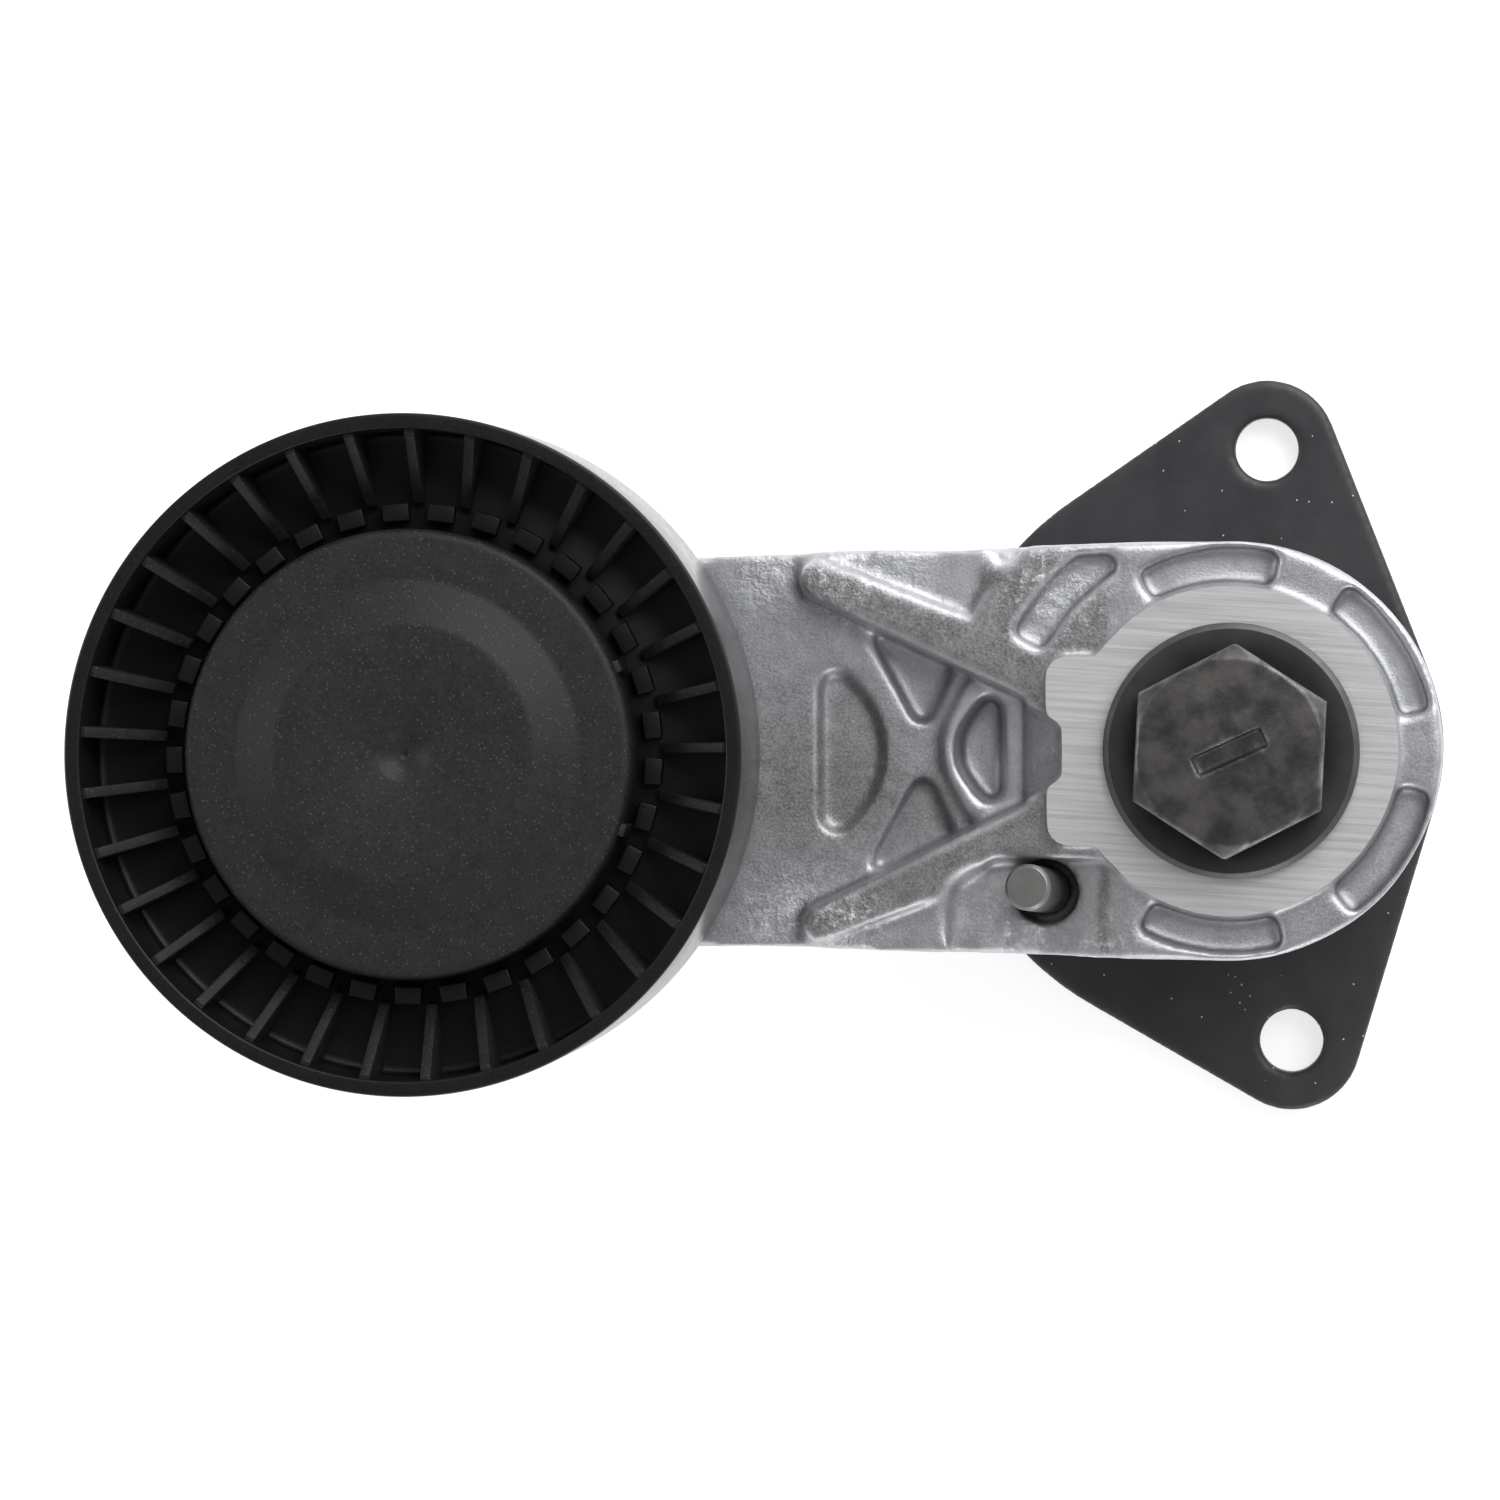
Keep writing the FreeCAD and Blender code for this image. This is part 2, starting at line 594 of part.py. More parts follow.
def bearing_inner_ring():
    ring = tube(inner_ring_outside, bearing_bore, bearing_back_z, bearing_front_z, -arm_length)
    return ring.cut(race_groove())


# ---- the pulley and what turns with it -----------------------------------------------------
def bearing_outer_ring():
    ring = tube(bearing_outside, outer_ring_inside, bearing_back_z, bearing_front_z, -arm_length)
    return ring.cut(race_groove())


def bearing_seal(z_low):
    return tube(outer_ring_inside - seat_gap, inner_ring_outside + 0.15, z_low, z_low + 0.8, -arm_length)


def bearing_balls():
    ball = Part.makeSphere(ball_radius, Vector(-arm_length + ball_circle, 0, bearing_mid_z))
    return Part.makeCompound(ring_of(ball, ball_count, -arm_length))


def bearing_cage():
    half_height = ball_radius + 0.75
    cage = tube(ball_circle + 0.65, ball_circle - 0.65, bearing_mid_z - half_height,
                bearing_mid_z + half_height, -arm_length)
    hole_start = Vector(-arm_length + ball_circle - 3, 0, bearing_mid_z)
    hole = Part.makeCylinder(ball_radius + 0.1, 6.0, hole_start, Vector(1, 0, 0))
    return cage.cut(ring_of(hole, ball_count, -arm_length))


block_height = 1.5


def standing_rib(profile):
    """Flat rib in a radial plane of the pulley, from (radius, z) corners."""
    corners = [Vector(-arm_length + r, -rib_thickness / 2, z) for r, z in profile]
    return Part.Face(Part.makePolygon(corners + corners[:1])).extrude(Vector(0, rib_thickness, 0))


def pulley_wheel():
    rim_inside = pulley_radius - rim_wall
    lip = wheel_lip_radius
    wheel = turned([
        (bearing_outside, bearing_back_z), (lip, bearing_back_z), (lip, bearing_back_z - 0.9),
        (wheel_hub_radius, bearing_back_z - 0.9), (wheel_hub_radius, pulley_floor_z - pulley_web),
        (rim_inside, pulley_floor_z - pulley_web), (rim_inside, pulley_back_z),
        (pulley_radius, pulley_back_z), (pulley_radius, pulley_front_z),
        (rim_inside, pulley_front_z), (rim_inside, pulley_floor_z),
        (cap_seat_radius, pulley_floor_z), (cap_seat_radius, pulley_floor_z + 4),
        (cap_seat_radius - 1.6, pulley_floor_z + 4), (cap_seat_radius - 1.6, bearing_front_z + 1),
        (lip, bearing_front_z + 1), (lip, bearing_front_z), (bearing_outside, bearing_front_z),
    ], -arm_length)
    root = rim_inside + rim_wall / 2
    front_rib = standing_rib([(rib_inner_radius, pulley_floor_z - 0.5),
                              (rib_inner_radius, pulley_floor_z + 1.2),
                              (rim_inside - 0.5, pulley_front_z - 1.0),
                              (root, pulley_front_z - 1.0), (root, pulley_floor_z - 0.5)])
    back_rib = standing_rib([(wheel_hub_radius - 0.5, pulley_floor_z - pulley_web + 0.5),
                             (wheel_hub_radius - 0.5, bearing_back_z + 3),
                             (rim_inside - 0.5, pulley_back_z + 1.0),
                             (root, pulley_back_z + 1.0),
                             (root, pulley_floor_z - pulley_web + 0.5)])
    block_box = Part.makeBox(2.3, 3.4, block_height + 0.5,
                             Vector(-arm_length + cap_radius + 1.1, -1.7, pulley_floor_z - 0.5))
    pitch = 360.0 / pulley_ribs
    repeats = ring_of(front_rib, pulley_ribs, -arm_length, 1.2)
    repeats += ring_of(back_rib, pulley_ribs, -arm_length, 1.2)
    repeats += ring_of(block_box, pulley_ribs, -arm_length, 1.2 + pitch / 2)
    return wheel.fuse(repeats)


def dust_cap():
    """Snap-on cap: flat outer ring, raised centre disc and a dimple at its middle."""
    ring_z = pulley_front_z - 3.4
    disc_z = pulley_front_z - 2.2
    disc_radius = cap_radius - 12.2
    cone_radius = cap_radius - 6.6
    under = cap_thickness
    foot_z = pulley_floor_z + 0.1
    profile = [
        (0, disc_z - 0.9), (2.0, disc_z - 0.75), (3.7, disc_z), (disc_radius, disc_z),
        (cone_radius, ring_z), (cap_radius - 1.2, ring_z), (cap_radius - 0.35, ring_z - 0.35),
        (cap_radius, ring_z - 1.2), (cap_radius, foot_z), (cap_radius - under, foot_z),
        (cap_radius - under, ring_z - under), (cone_radius - 0.4, ring_z - under),
        (disc_radius - 0.4, disc_z - under), (0, disc_z - under),
    ]
    return turned(profile, -arm_length)


# ---- write one file for each piece ---------------------------------------------------------
pieces = {
    "mounting_plate": mounting_plate(),
    "threaded_boss": threaded_boss(),
    "spring_case": spring_case(),
    "case_rivets": case_rivets(),
    "pivot_sleeve": pivot_sleeve(),
    "pivot_bolt": pivot_bolt(),
    "retaining_washer": retaining_washer(),
    "torsion_spring": torsion_spring(),
    "arm_casting": arm_casting(),
    "front_bush": front_bush(),
    "rear_bush": rear_bush(),
    "damper_band": damper_band(),
    "stop_pin": stop_pin(),
    "pulley_bolt": pulley_bolt(),
    "rear_shield": rear_shield(),
    "adapter_sleeve": adapter_sleeve(),
    "bearing_inner_ring": bearing_inner_ring(),
    "bearing_outer_ring": bearing_outer_ring(),
    "bearing_seal_front": bearing_seal(bearing_front_z - 1.4),
    "bearing_seal_back": bearing_seal(bearing_back_z + 0.6),
    "bearing_balls": bearing_balls(),
    "bearing_cage": bearing_cage(),
    "pulley_wheel": pulley_wheel(),
    "dust_cap": dust_cap(),
}

os.makedirs("parts", exist_ok=True)
for name, shape in pieces.items():
    shape.exportStep("parts/" + name + ".step")
    print(name, "solids", len(shape.Solids), "valid", shape.isValid(), "volume", round(shape.Volume))
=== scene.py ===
import bpy
import bmesh
import json
import math
import numpy as np
from mathutils import Matrix, Vector


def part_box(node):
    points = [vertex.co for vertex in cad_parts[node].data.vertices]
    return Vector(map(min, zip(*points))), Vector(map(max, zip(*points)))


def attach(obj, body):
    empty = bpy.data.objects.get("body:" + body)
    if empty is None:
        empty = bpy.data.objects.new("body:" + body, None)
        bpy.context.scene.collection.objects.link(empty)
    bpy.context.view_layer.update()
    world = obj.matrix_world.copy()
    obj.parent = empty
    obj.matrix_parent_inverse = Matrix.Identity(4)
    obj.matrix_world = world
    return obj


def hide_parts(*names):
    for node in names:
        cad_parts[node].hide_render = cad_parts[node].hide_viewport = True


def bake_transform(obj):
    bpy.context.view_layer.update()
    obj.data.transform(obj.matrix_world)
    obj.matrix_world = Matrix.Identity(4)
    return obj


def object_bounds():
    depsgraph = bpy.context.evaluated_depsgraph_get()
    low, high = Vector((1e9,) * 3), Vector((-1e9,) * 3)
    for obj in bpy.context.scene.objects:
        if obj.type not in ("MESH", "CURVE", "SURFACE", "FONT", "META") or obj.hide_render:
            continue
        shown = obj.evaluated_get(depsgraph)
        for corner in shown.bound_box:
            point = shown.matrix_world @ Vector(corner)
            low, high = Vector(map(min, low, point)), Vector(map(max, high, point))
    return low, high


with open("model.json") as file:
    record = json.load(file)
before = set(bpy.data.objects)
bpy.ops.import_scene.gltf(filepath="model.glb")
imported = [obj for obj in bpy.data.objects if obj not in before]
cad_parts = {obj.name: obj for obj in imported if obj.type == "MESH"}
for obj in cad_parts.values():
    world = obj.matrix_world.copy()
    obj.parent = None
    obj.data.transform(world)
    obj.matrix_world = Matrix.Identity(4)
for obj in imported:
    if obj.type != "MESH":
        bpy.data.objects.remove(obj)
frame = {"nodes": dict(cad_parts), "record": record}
cadLow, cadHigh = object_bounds()
mm = 0.001


def centreOf(node):
    low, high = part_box(node)
    return (low + high) / 2


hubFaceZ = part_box("arm_casting")[1].z
frontZ = hubFaceZ - 9 * mm  # everything on the arm's front is above this
pulleyX = centreOf("pulley_wheel").x


def addNode(tree, kind, inputs=None, **settings):
    made = tree.nodes.new(kind)
    for name, value in settings.items():
        setattr(made, name, value)
    for name, value in (inputs or {}).items():
        made.inputs[name].default_value = value
    return made


def wire(tree, source, target):  # both are (node, socket) pairs
    tree.links.new(source[0].outputs[source[1]], target[0].inputs[target[1]])


def shaderGroup(name, inputs, outputs):
    tree = bpy.data.node_groups.new(name, "ShaderNodeTree")
    for label, value in inputs:
        kind = "NodeSocketVector" if label == "Vector" else "NodeSocketFloat"
        socket = tree.interface.new_socket(label, in_out="INPUT", socket_type=kind)
        if value is not None:
            socket.default_value = value
    for label in outputs:
        tree.interface.new_socket(label, in_out="OUTPUT", socket_type="NodeSocketFloat")
    return tree, tree.nodes.new("NodeGroupInput"), tree.nodes.new("NodeGroupOutput")


def mathNode(tree, operation, first, second=None):  # operands are (node, socket) pairs or numbers
    made = addNode(tree, "ShaderNodeMath", operation=operation)
    for index, operand in enumerate((first, second)):
        if isinstance(operand, tuple):
            wire(tree, operand, (made, index))
        elif operand is not None:
            made.inputs[index].default_value = operand
    return made


def makeGrainGroup():  # sandy or cast relief, from fine and coarse noise
    tree, given, result = shaderGroup(
        "castGrain", [("Vector", None), ("Grain Scale", 2200.0), ("Lump Scale", 420.0),
                      ("Lump Share", 0.4)], ["Height", "Mottle"])
    fine = addNode(tree, "ShaderNodeTexNoise", {"Detail": 3.0, "Roughness": 0.6})
    lump = addNode(tree, "ShaderNodeTexNoise", {"Detail": 4.0, "Roughness": 0.55})
    for noise, scale in ((fine, "Grain Scale"), (lump, "Lump Scale")):
        wire(tree, (given, "Vector"), (noise, "Vector"))
        wire(tree, (given, scale), (noise, "Scale"))
    mix = addNode(tree, "ShaderNodeMix", data_type="FLOAT")
    wire(tree, (given, "Lump Share"), (mix, "Factor"))
    wire(tree, (fine, "Fac"), (mix, "A"))
    wire(tree, (lump, "Fac"), (mix, "B"))
    wire(tree, (mix, "Result"), (result, "Height"))
    wire(tree, (lump, "Fac"), (result, "Mottle"))
    return tree


def makeSpeckGroup():  # sparse small bright specks, such as dust or glass fibre ends
    tree, given, result = shaderGroup(
        "specks", [("Vector", None), ("Scale", 900.0), ("Size", 0.12), ("Patch Scale", 60.0),
                   ("Amount", 0.5)], ["Mask"])
    cells = addNode(tree, "ShaderNodeTexVoronoi", {"Randomness": 1.0}, feature="F1")
    patch = addNode(tree, "ShaderNodeTexNoise", {"Detail": 2.0})
    wire(tree, (given, "Vector"), (cells, "Vector"))
    wire(tree, (given, "Scale"), (cells, "Scale"))
    wire(tree, (given, "Vector"), (patch, "Vector"))
    wire(tree, (given, "Patch Scale"), (patch, "Scale"))
    inside = mathNode(tree, "LESS_THAN", (cells, "Distance"), (given, "Size"))
    chosen = addNode(tree, "ShaderNodeTexWhiteNoise", noise_dimensions="3D")
    wire(tree, (cells, "Position"), (chosen, "Vector"))
    limit = mathNode(tree, "MULTIPLY", (patch, "Fac"), (given, "Amount"))
    kept = mathNode(tree, "LESS_THAN", (chosen, "Value"), (limit, "Value"))
    both = mathNode(tree, "MULTIPLY", (inside, "Value"), (kept, "Value"))
    wire(tree, (both, "Value"), (result, "Mask"))
    return tree


def makeBrushGroup():  # long fine cutter marks along X
    tree, given, result = shaderGroup(
        "cutterMarks", [("Vector", None), ("Across Scale", 3200.0), ("Along Scale", 60.0)],
        ["Height", "Streak"])
    parts = addNode(tree, "ShaderNodeSeparateXYZ")
    wire(tree, (given, "Vector"), (parts, "Vector"))
    along = mathNode(tree, "MULTIPLY", (parts, "X"), (given, "Along Scale"))
    across = mathNode(tree, "MULTIPLY", (parts, "Y"), (given, "Across Scale"))
    for output, share, layer in (("Height", 1.0, 0.0), ("Streak", 0.32, 3.1)):
        spread = mathNode(tree, "MULTIPLY", (across, "Value"), share)
        both = addNode(tree, "ShaderNodeCombineXYZ", {"Z": layer})
        wire(tree, (along, "Value"), (both, "X"))
        wire(tree, (spread, "Value"), (both, "Y"))
        noise = addNode(tree, "ShaderNodeTexNoise", {"Scale": 1.0, "Detail": 3.0, "Roughness": 0.7})
        wire(tree, (both, "Vector"), (noise, "Vector"))
        wire(tree, (noise, "Fac"), (result, output))
    return tree


grainGroup = makeGrainGroup()
speckGroup = makeSpeckGroup()
brushGroup = makeBrushGroup()
print("stage: surface effects ready")


def newMaterial(name, color, roughness, metallic=0.0, **shaderInputs):
    material = bpy.data.materials.new(name)
    material.use_nodes = True
    tree = material.node_tree
    shader = tree.nodes["Principled BSDF"]
    shader.inputs["Base Color"].default_value = (*color, 1)
    shader.inputs["Roughness"].default_value = roughness
    shader.inputs["Metallic"].default_value = metallic
    for label, value in shaderInputs.items():
        shader.inputs[label.replace("_", " ")].default_value = value
    place = addNode(tree, "ShaderNodeTexCoord")
    return material, tree, shader, (place, "Object")


def useGroup(tree, group, place, inputs=None):
    made = addNode(tree, "ShaderNodeGroup", node_tree=group)
    wire(tree, place, (made, "Vector"))
    for label, value in (inputs or {}).items():
        made.inputs[label].default_value = value
    return made


def ramp(tree, source, stops):  # stops are (position, colour) pairs
    made = addNode(tree, "ShaderNodeValToRGB")
    wire(tree, source, (made, "Fac"))
    elements = made.color_ramp.elements
    while len(elements) < len(stops):
        elements.new(0.5)
    for element, (position, color) in zip(elements, stops):
        element.position = position
        element.color = (*color, 1)
    return made


def mapRange(tree, source, fromLow, fromHigh, toLow, toHigh):
    made = addNode(tree, "ShaderNodeMapRange", {"From Min": fromLow, "From Max": fromHigh,
                                                "To Min": toLow, "To Max": toHigh})
    wire(tree, source, (made, "Value"))
    return made


def bump(tree, shader, height, distance, after=None):
    made = addNode(tree, "ShaderNodeBump", {"Strength": 1.0, "Distance": distance})
    wire(tree, height, (made, "Height"))
    if after is not None:
        wire(tree, (after, "Normal"), (made, "Normal"))
    wire(tree, (made, "Normal"), (shader, "Normal"))
    return made


def mixColor(tree, factor, first, second):  # each colour is a (node, socket) pair or three numbers
    made = addNode(tree, "ShaderNodeMix", data_type="RGBA")
    wire(tree, factor, (made, "Factor"))
    for index, color in ((6, first), (7, second)):
        if len(color) == 2:
            wire(tree, color, (made, index))
        else:
            made.inputs[index].default_value = (*color, 1)
    return made


def castAluminium():
    look = dict(dark=(0.43, 0.434, 0.455), light=(0.58, 0.585, 0.615),
                sandDark=(0.175, 0.176, 0.178), sandLight=(0.35, 0.351, 0.353),
                edge=(0.66, 0.66, 0.69), hollowShade=(0.16, 0.162, 0.17), flash=(0.74, 0.74, 0.77),
                grainScale=3000.0, lumpScale=420.0, scabScale=900.0, relief=0.00007,
                pitRelief=0.0003)
    material, tree, shader, place = newMaterial("castAluminium", look["light"], 0.45, 0.85)
    grain = useGroup(tree, grainGroup, place, {"Grain Scale": look["grainScale"],
                                               "Lump Scale": look["lumpScale"], "Lump Share": 0.35})
    smooth = ramp(tree, (grain, "Height"), [(0.32, look["dark"]), (0.66, look["light"])])
    sandy = ramp(tree, (grain, "Height"), [(0.36, look["sandDark"]), (0.62, look["sandLight"])])
    # smooth-skin tone, which also carries painted shade next to the pulley and on the -y side
    skin = addNode(tree, "ShaderNodeAttribute", attribute_name="smoothSkinAndShade")
    base = mixColor(tree, (skin, "Fac"), (sandy, "Color"), (smooth, "Color"))
    edges = addNode(tree, "ShaderNodeAttribute", attribute_name="convexity")
    # painted highlight: the outer edges of the casting take a lighter colour
    edgeHighlight = mapRange(tree, (edges, "Fac"), 0.60, 0.95, 0.0, 0.5)
    # painted shade: the hollows of the casting take a darker colour
    paintedHollowShade = mapRange(tree, (edges, "Fac"), 0.42, 0.1, 0.0, 0.6)
    lit = mixColor(tree, (edgeHighlight, "Result"), (base, 2), look["edge"])
    shaded = mixColor(tree, (paintedHollowShade, "Result"), (lit, 2), look["hollowShade"])
    # torn, shiny skin where the die has worn
    torn = addNode(tree, "ShaderNodeAttribute", attribute_name="torn")
    scabs = addNode(tree, "ShaderNodeTexNoise", {"Scale": look["scabScale"], "Detail": 5.0,
                                                 "Roughness": 0.7})
    wire(tree, place, (scabs, "Vector"))
    crest = mapRange(tree, (scabs, "Fac"), 0.52, 0.66, 0.0, 1.0)
    shiny = mathNode(tree, "MULTIPLY", (crest, "Result"), (torn, "Fac"))
    flashed = mixColor(tree, (shiny, "Value"), (shaded, 2), look["flash"])
    wire(tree, (flashed, 2), (shader, "Base Color"))
    rough = mapRange(tree, (grain, "Height"), 0.3, 0.7, 0.36, 0.52)
    wire(tree, (rough, "Result"), (shader, "Roughness"))
    fine = bump(tree, shader, (grain, "Height"), look["relief"])
    ragged = mathNode(tree, "MULTIPLY", (scabs, "Fac"), (torn, "Fac"))
    bump(tree, shader, (ragged, "Value"), look["pitRelief"], after=fine)
    return material


def milledAluminium():
    look = dict(color=(0.79, 0.79, 0.80), dull=(0.62, 0.62, 0.63), markDegrees=4,
                acrossScale=5200.0, alongScale=45.0, relief=0.000012)
    material, tree, shader, place = newMaterial("milledAluminium", look["color"], 0.40, 0.85)
    turned = addNode(tree, "ShaderNodeMapping")
    turned.inputs["Rotation"].default_value = (0, 0, math.radians(look["markDegrees"]))
    wire(tree, place, (turned, "Vector"))
    marks = useGroup(tree, brushGroup, (turned, "Vector"), {"Across Scale": look["acrossScale"],
                                                            "Along Scale": look["alongScale"]})
    base = ramp(tree, (marks, "Streak"), [(0.35, look["dull"]), (0.6, look["color"])])
    wire(tree, (base, "Color"), (shader, "Base Color"))
    rough = mapRange(tree, (marks, "Height"), 0.3, 0.7, 0.36, 0.48)
    wire(tree, (rough, "Result"), (shader, "Roughness"))
    bump(tree, shader, (marks, "Height"), look["relief"])
    return material


def darkSteel(name, color, light, roughness, relief, contrast):
    look = dict(edge=(0.36, 0.355, 0.35), stainScale=130.0, grainScale=2600.0, lumpScale=260.0)
    material, tree, shader, place = newMaterial(name, color, roughness, 0.6)
    grain = useGroup(tree, grainGroup, place, {"Grain Scale": look["grainScale"],
                                               "Lump Scale": look["lumpScale"], "Lump Share": 0.5})
    stain = addNode(tree, "ShaderNodeTexNoise", {"Scale": look["stainScale"], "Detail": 6.0,
                                                 "Roughness": 0.62})
    wire(tree, place, (stain, "Vector"))
    both = mathNode(tree, "ADD", (grain, "Mottle"), (stain, "Fac"))
    half = mathNode(tree, "MULTIPLY", (both, "Value"), 0.5)
    black = [c * (1 - 0.5 * contrast) for c in color]
    smudge = [c * (1 + 0.3 * contrast) for c in light]
    base = ramp(tree, (half, "Value"), [(0.36, black), (0.45, color), (0.56, light),
                                        (0.68, smudge)])
    edges = addNode(tree, "ShaderNodeAttribute", attribute_name="convexity")
    # worn edges and painted highlight: the outer edges take a lighter colour, in patches
    wornEdgeAndHighlight = mapRange(tree, (edges, "Fac"), 0.62, 1.0, 0.0, 0.8)
    patchy = mapRange(tree, (stain, "Fac"), 0.42, 0.6, 0.1, 1.0)
    edgeHighlight = mathNode(tree, "MULTIPLY", (wornEdgeAndHighlight, "Result"), (patchy, "Result"))
    lit = mixColor(tree, (edgeHighlight, "Value"), (base, "Color"), look["edge"])
    wire(tree, (lit, 2), (shader, "Base Color"))
    rough = mapRange(tree, (grain, "Height"), 0.3, 0.7, roughness - 0.1, roughness + 0.12)
    wire(tree, (rough, "Result"), (shader, "Roughness"))
    bump(tree, shader, (grain, "Height"), relief)
    return material


def plainSteel(name, color, roughness, metallic=1.0):
    material, tree, shader, place = newMaterial(name, color, roughness, metallic)
    grain = useGroup(tree, grainGroup, place, {"Grain Scale": 3000.0, "Lump Scale": 200.0})
    rough = mapRange(tree, (grain, "Height"), 0.3, 0.7, roughness - 0.06, roughness + 0.08)
    wire(tree, (rough, "Result"), (shader, "Roughness"))
    tone = ramp(tree, (grain, "Mottle"), [(0.3, [c * 0.8 for c in color]), (0.7, color)])
    wire(tree, (tone, "Color"), (shader, "Base Color"))
    bump(tree, shader, (grain, "Height"), 0.00002)
    return material


def coatedPlate():
    look = dict(color=(0.026, 0.027, 0.029), light=(0.04, 0.041, 0.043), dust=(0.55, 0.55, 0.56))
    material, tree, shader, place = newMaterial("coatedPlate", look["color"], 0.42, 0.0,
                                                Specular_IOR_Level=0.4)
    grain = useGroup(tree, grainGroup, place, {"Grain Scale": 1800.0, "Lump Scale": 120.0,
                                               "Lump Share": 0.5})
    base = ramp(tree, (grain, "Mottle"), [(0.3, look["color"]), (0.7, look["light"])])
    dust = useGroup(tree, speckGroup, place, {"Scale": 1300.0, "Size": 0.15, "Patch Scale": 90.0,
                                              "Amount": 0.11})
    dusty = mixColor(tree, (dust, "Mask"), (base, "Color"), look["dust"])
    wire(tree, (dusty, 2), (shader, "Base Color"))
    rough = mapRange(tree, (grain, "Height"), 0.3, 0.7, 0.36, 0.5)
    wire(tree, (rough, "Result"), (shader, "Roughness"))
    bump(tree, shader, (grain, "Height"), 0.00003)
    return material


def blackPlastic(name, color, roughness, relief, specks=0.0, **shaderInputs):
    material, tree, shader, place = newMaterial(name, color, roughness, 0.0, **shaderInputs)
    grain = useGroup(tree, grainGroup, place, {"Grain Scale": 2600.0, "Lump Scale": 380.0,
                                               "Lump Share": 0.3})
    light = [min(1.0, c * 1.9) for c in color]
    base = ramp(tree, (grain, "Height"), [(0.38, color), (0.66, light)])
    fibre = useGroup(tree, speckGroup, place, {"Scale": 2400.0, "Size": 0.3, "Patch Scale": 500.0,
                                               "Amount": specks})
    flecked = mixColor(tree, (fibre, "Mask"), (base, "Color"), [c * 4.5 for c in color])
    wire(tree, (flecked, 2), (shader, "Base Color"))
    rough = mapRange(tree, (grain, "Height"), 0.3, 0.7, roughness - 0.07, roughness + 0.1)
    wire(tree, (rough, "Result"), (shader, "Roughness"))
    bump(tree, shader, (grain, "Height"), relief)
    return material


finishes = {
    "cast_aluminium": castAluminium(),
    "milled": milledAluminium(),
    "coated_plate": coatedPlate(),
    "dark_steel": darkSteel("forgedBolt", (0.052, 0.050, 0.049), (0.080, 0.077, 0.075),
                            roughness=0.42, relief=0.00006, contrast=0.55),
    "dark_washer": darkSteel("darkWasher", (0.044, 0.044, 0.043), (0.048, 0.048, 0.047),
                             roughness=0.5, relief=0.00002, contrast=0.1),
    # painted highlight: a lighter copy of the washer's steel, for its chamfer
    "washer_edge": darkSteel("washerEdgeHighlight", (0.09, 0.09, 0.088), (0.11, 0.11, 0.108),
                             roughness=0.42, relief=0.00002, contrast=0.2),
    "bright_steel": plainSteel("platedSteel", (0.55, 0.55, 0.56), roughness=0.35),
    "pin_steel": plainSteel("pinSteel", (0.24, 0.24, 0.235), roughness=0.46, metallic=0.85),
    "pin_rim": plainSteel("pinRim", (0.60, 0.60, 0.59), roughness=0.30),
    "spring_steel": plainSteel("springSteel", (0.10, 0.10, 0.11), roughness=0.40),
    "bearing_steel": plainSteel("bearingSteel", (0.68, 0.68, 0.70), roughness=0.15),
    "bush_plastic": blackPlastic("bushPolymer", (0.20, 0.18, 0.14), roughness=0.5,
                                 relief=0.00002),
    "pulley_plastic": blackPlastic("pulleyNylon", (0.0035, 0.0036, 0.0037), roughness=0.40,
                                   relief=0.00002, specks=0.05, Specular_IOR_Level=0.27),
    "rib_plastic": blackPlastic("ribNylon", (0.0095, 0.0097, 0.0098), roughness=0.52,
                                relief=0.00003, specks=0.25, Specular_IOR_Level=0.25),
    "belt_plastic": blackPlastic("beltFaceNylon", (0.006, 0.006, 0.0062), roughness=0.20,
                                 relief=0.000003),
    "cap_plastic": blackPlastic("capNylon", (0.0118, 0.012, 0.0121), roughness=0.50,
                                relief=0.00005, specks=0.35, Specular_IOR_Level=0.27),
    "seal_rubber": blackPlastic("sealRubber", (0.02, 0.02, 0.02), roughness=0.6, relief=0.00001),
}
slotOf = {part["node"]: part["material_slot"] for part in frame["record"]["subparts"]}
for nodeName, nodeObject in frame["nodes"].items():
    nodeObject.data.materials.clear()
    nodeObject.data.materials.append(finishes[slotOf[nodeName]])
print("stage: materials ready")


def newObject(name, mesh):
    made = bpy.data.objects.new(name, mesh)
    bpy.context.scene.collection.objects.link(made)
    return made


def settled(obj):  # works the modifiers into a plain mesh
    graph = bpy.context.evaluated_depsgraph_get()
    mesh = bpy.data.meshes.new_from_object(obj.evaluated_get(graph), depsgraph=graph)
    obj.modifiers.clear()
    obj.data = mesh
    return obj


def weldedCopy(node, name):
    mesh = frame["nodes"][node].data.copy()
    work = bmesh.new()
    work.from_mesh(mesh)
    bmesh.ops.remove_doubles(work, verts=work.verts, dist=0.000002)
    bmesh.ops.recalc_face_normals(work, faces=work.faces)
    work.to_mesh(mesh)
    work.free()
    return newObject(name, mesh)


def coordinates(mesh):
    co = np.empty(len(mesh.vertices) * 3, np.float32)
    mesh.vertices.foreach_get("co", co)
    return co.reshape(-1, 3)


def vertexNormals(mesh):
    normals = np.empty(len(mesh.vertices) * 3, np.float32)
    mesh.vertices.foreach_get("normal", normals)
    return normals.reshape(-1, 3)


def setCoordinates(mesh, co):
    mesh.vertices.foreach_set("co", co.astype(np.float32).ravel())
    mesh.update()


def edgePairs(mesh):
    pairs = np.empty(len(mesh.edges) * 2, np.int32)
    mesh.edges.foreach_get("vertices", pairs)
    return pairs.reshape(-1, 2)


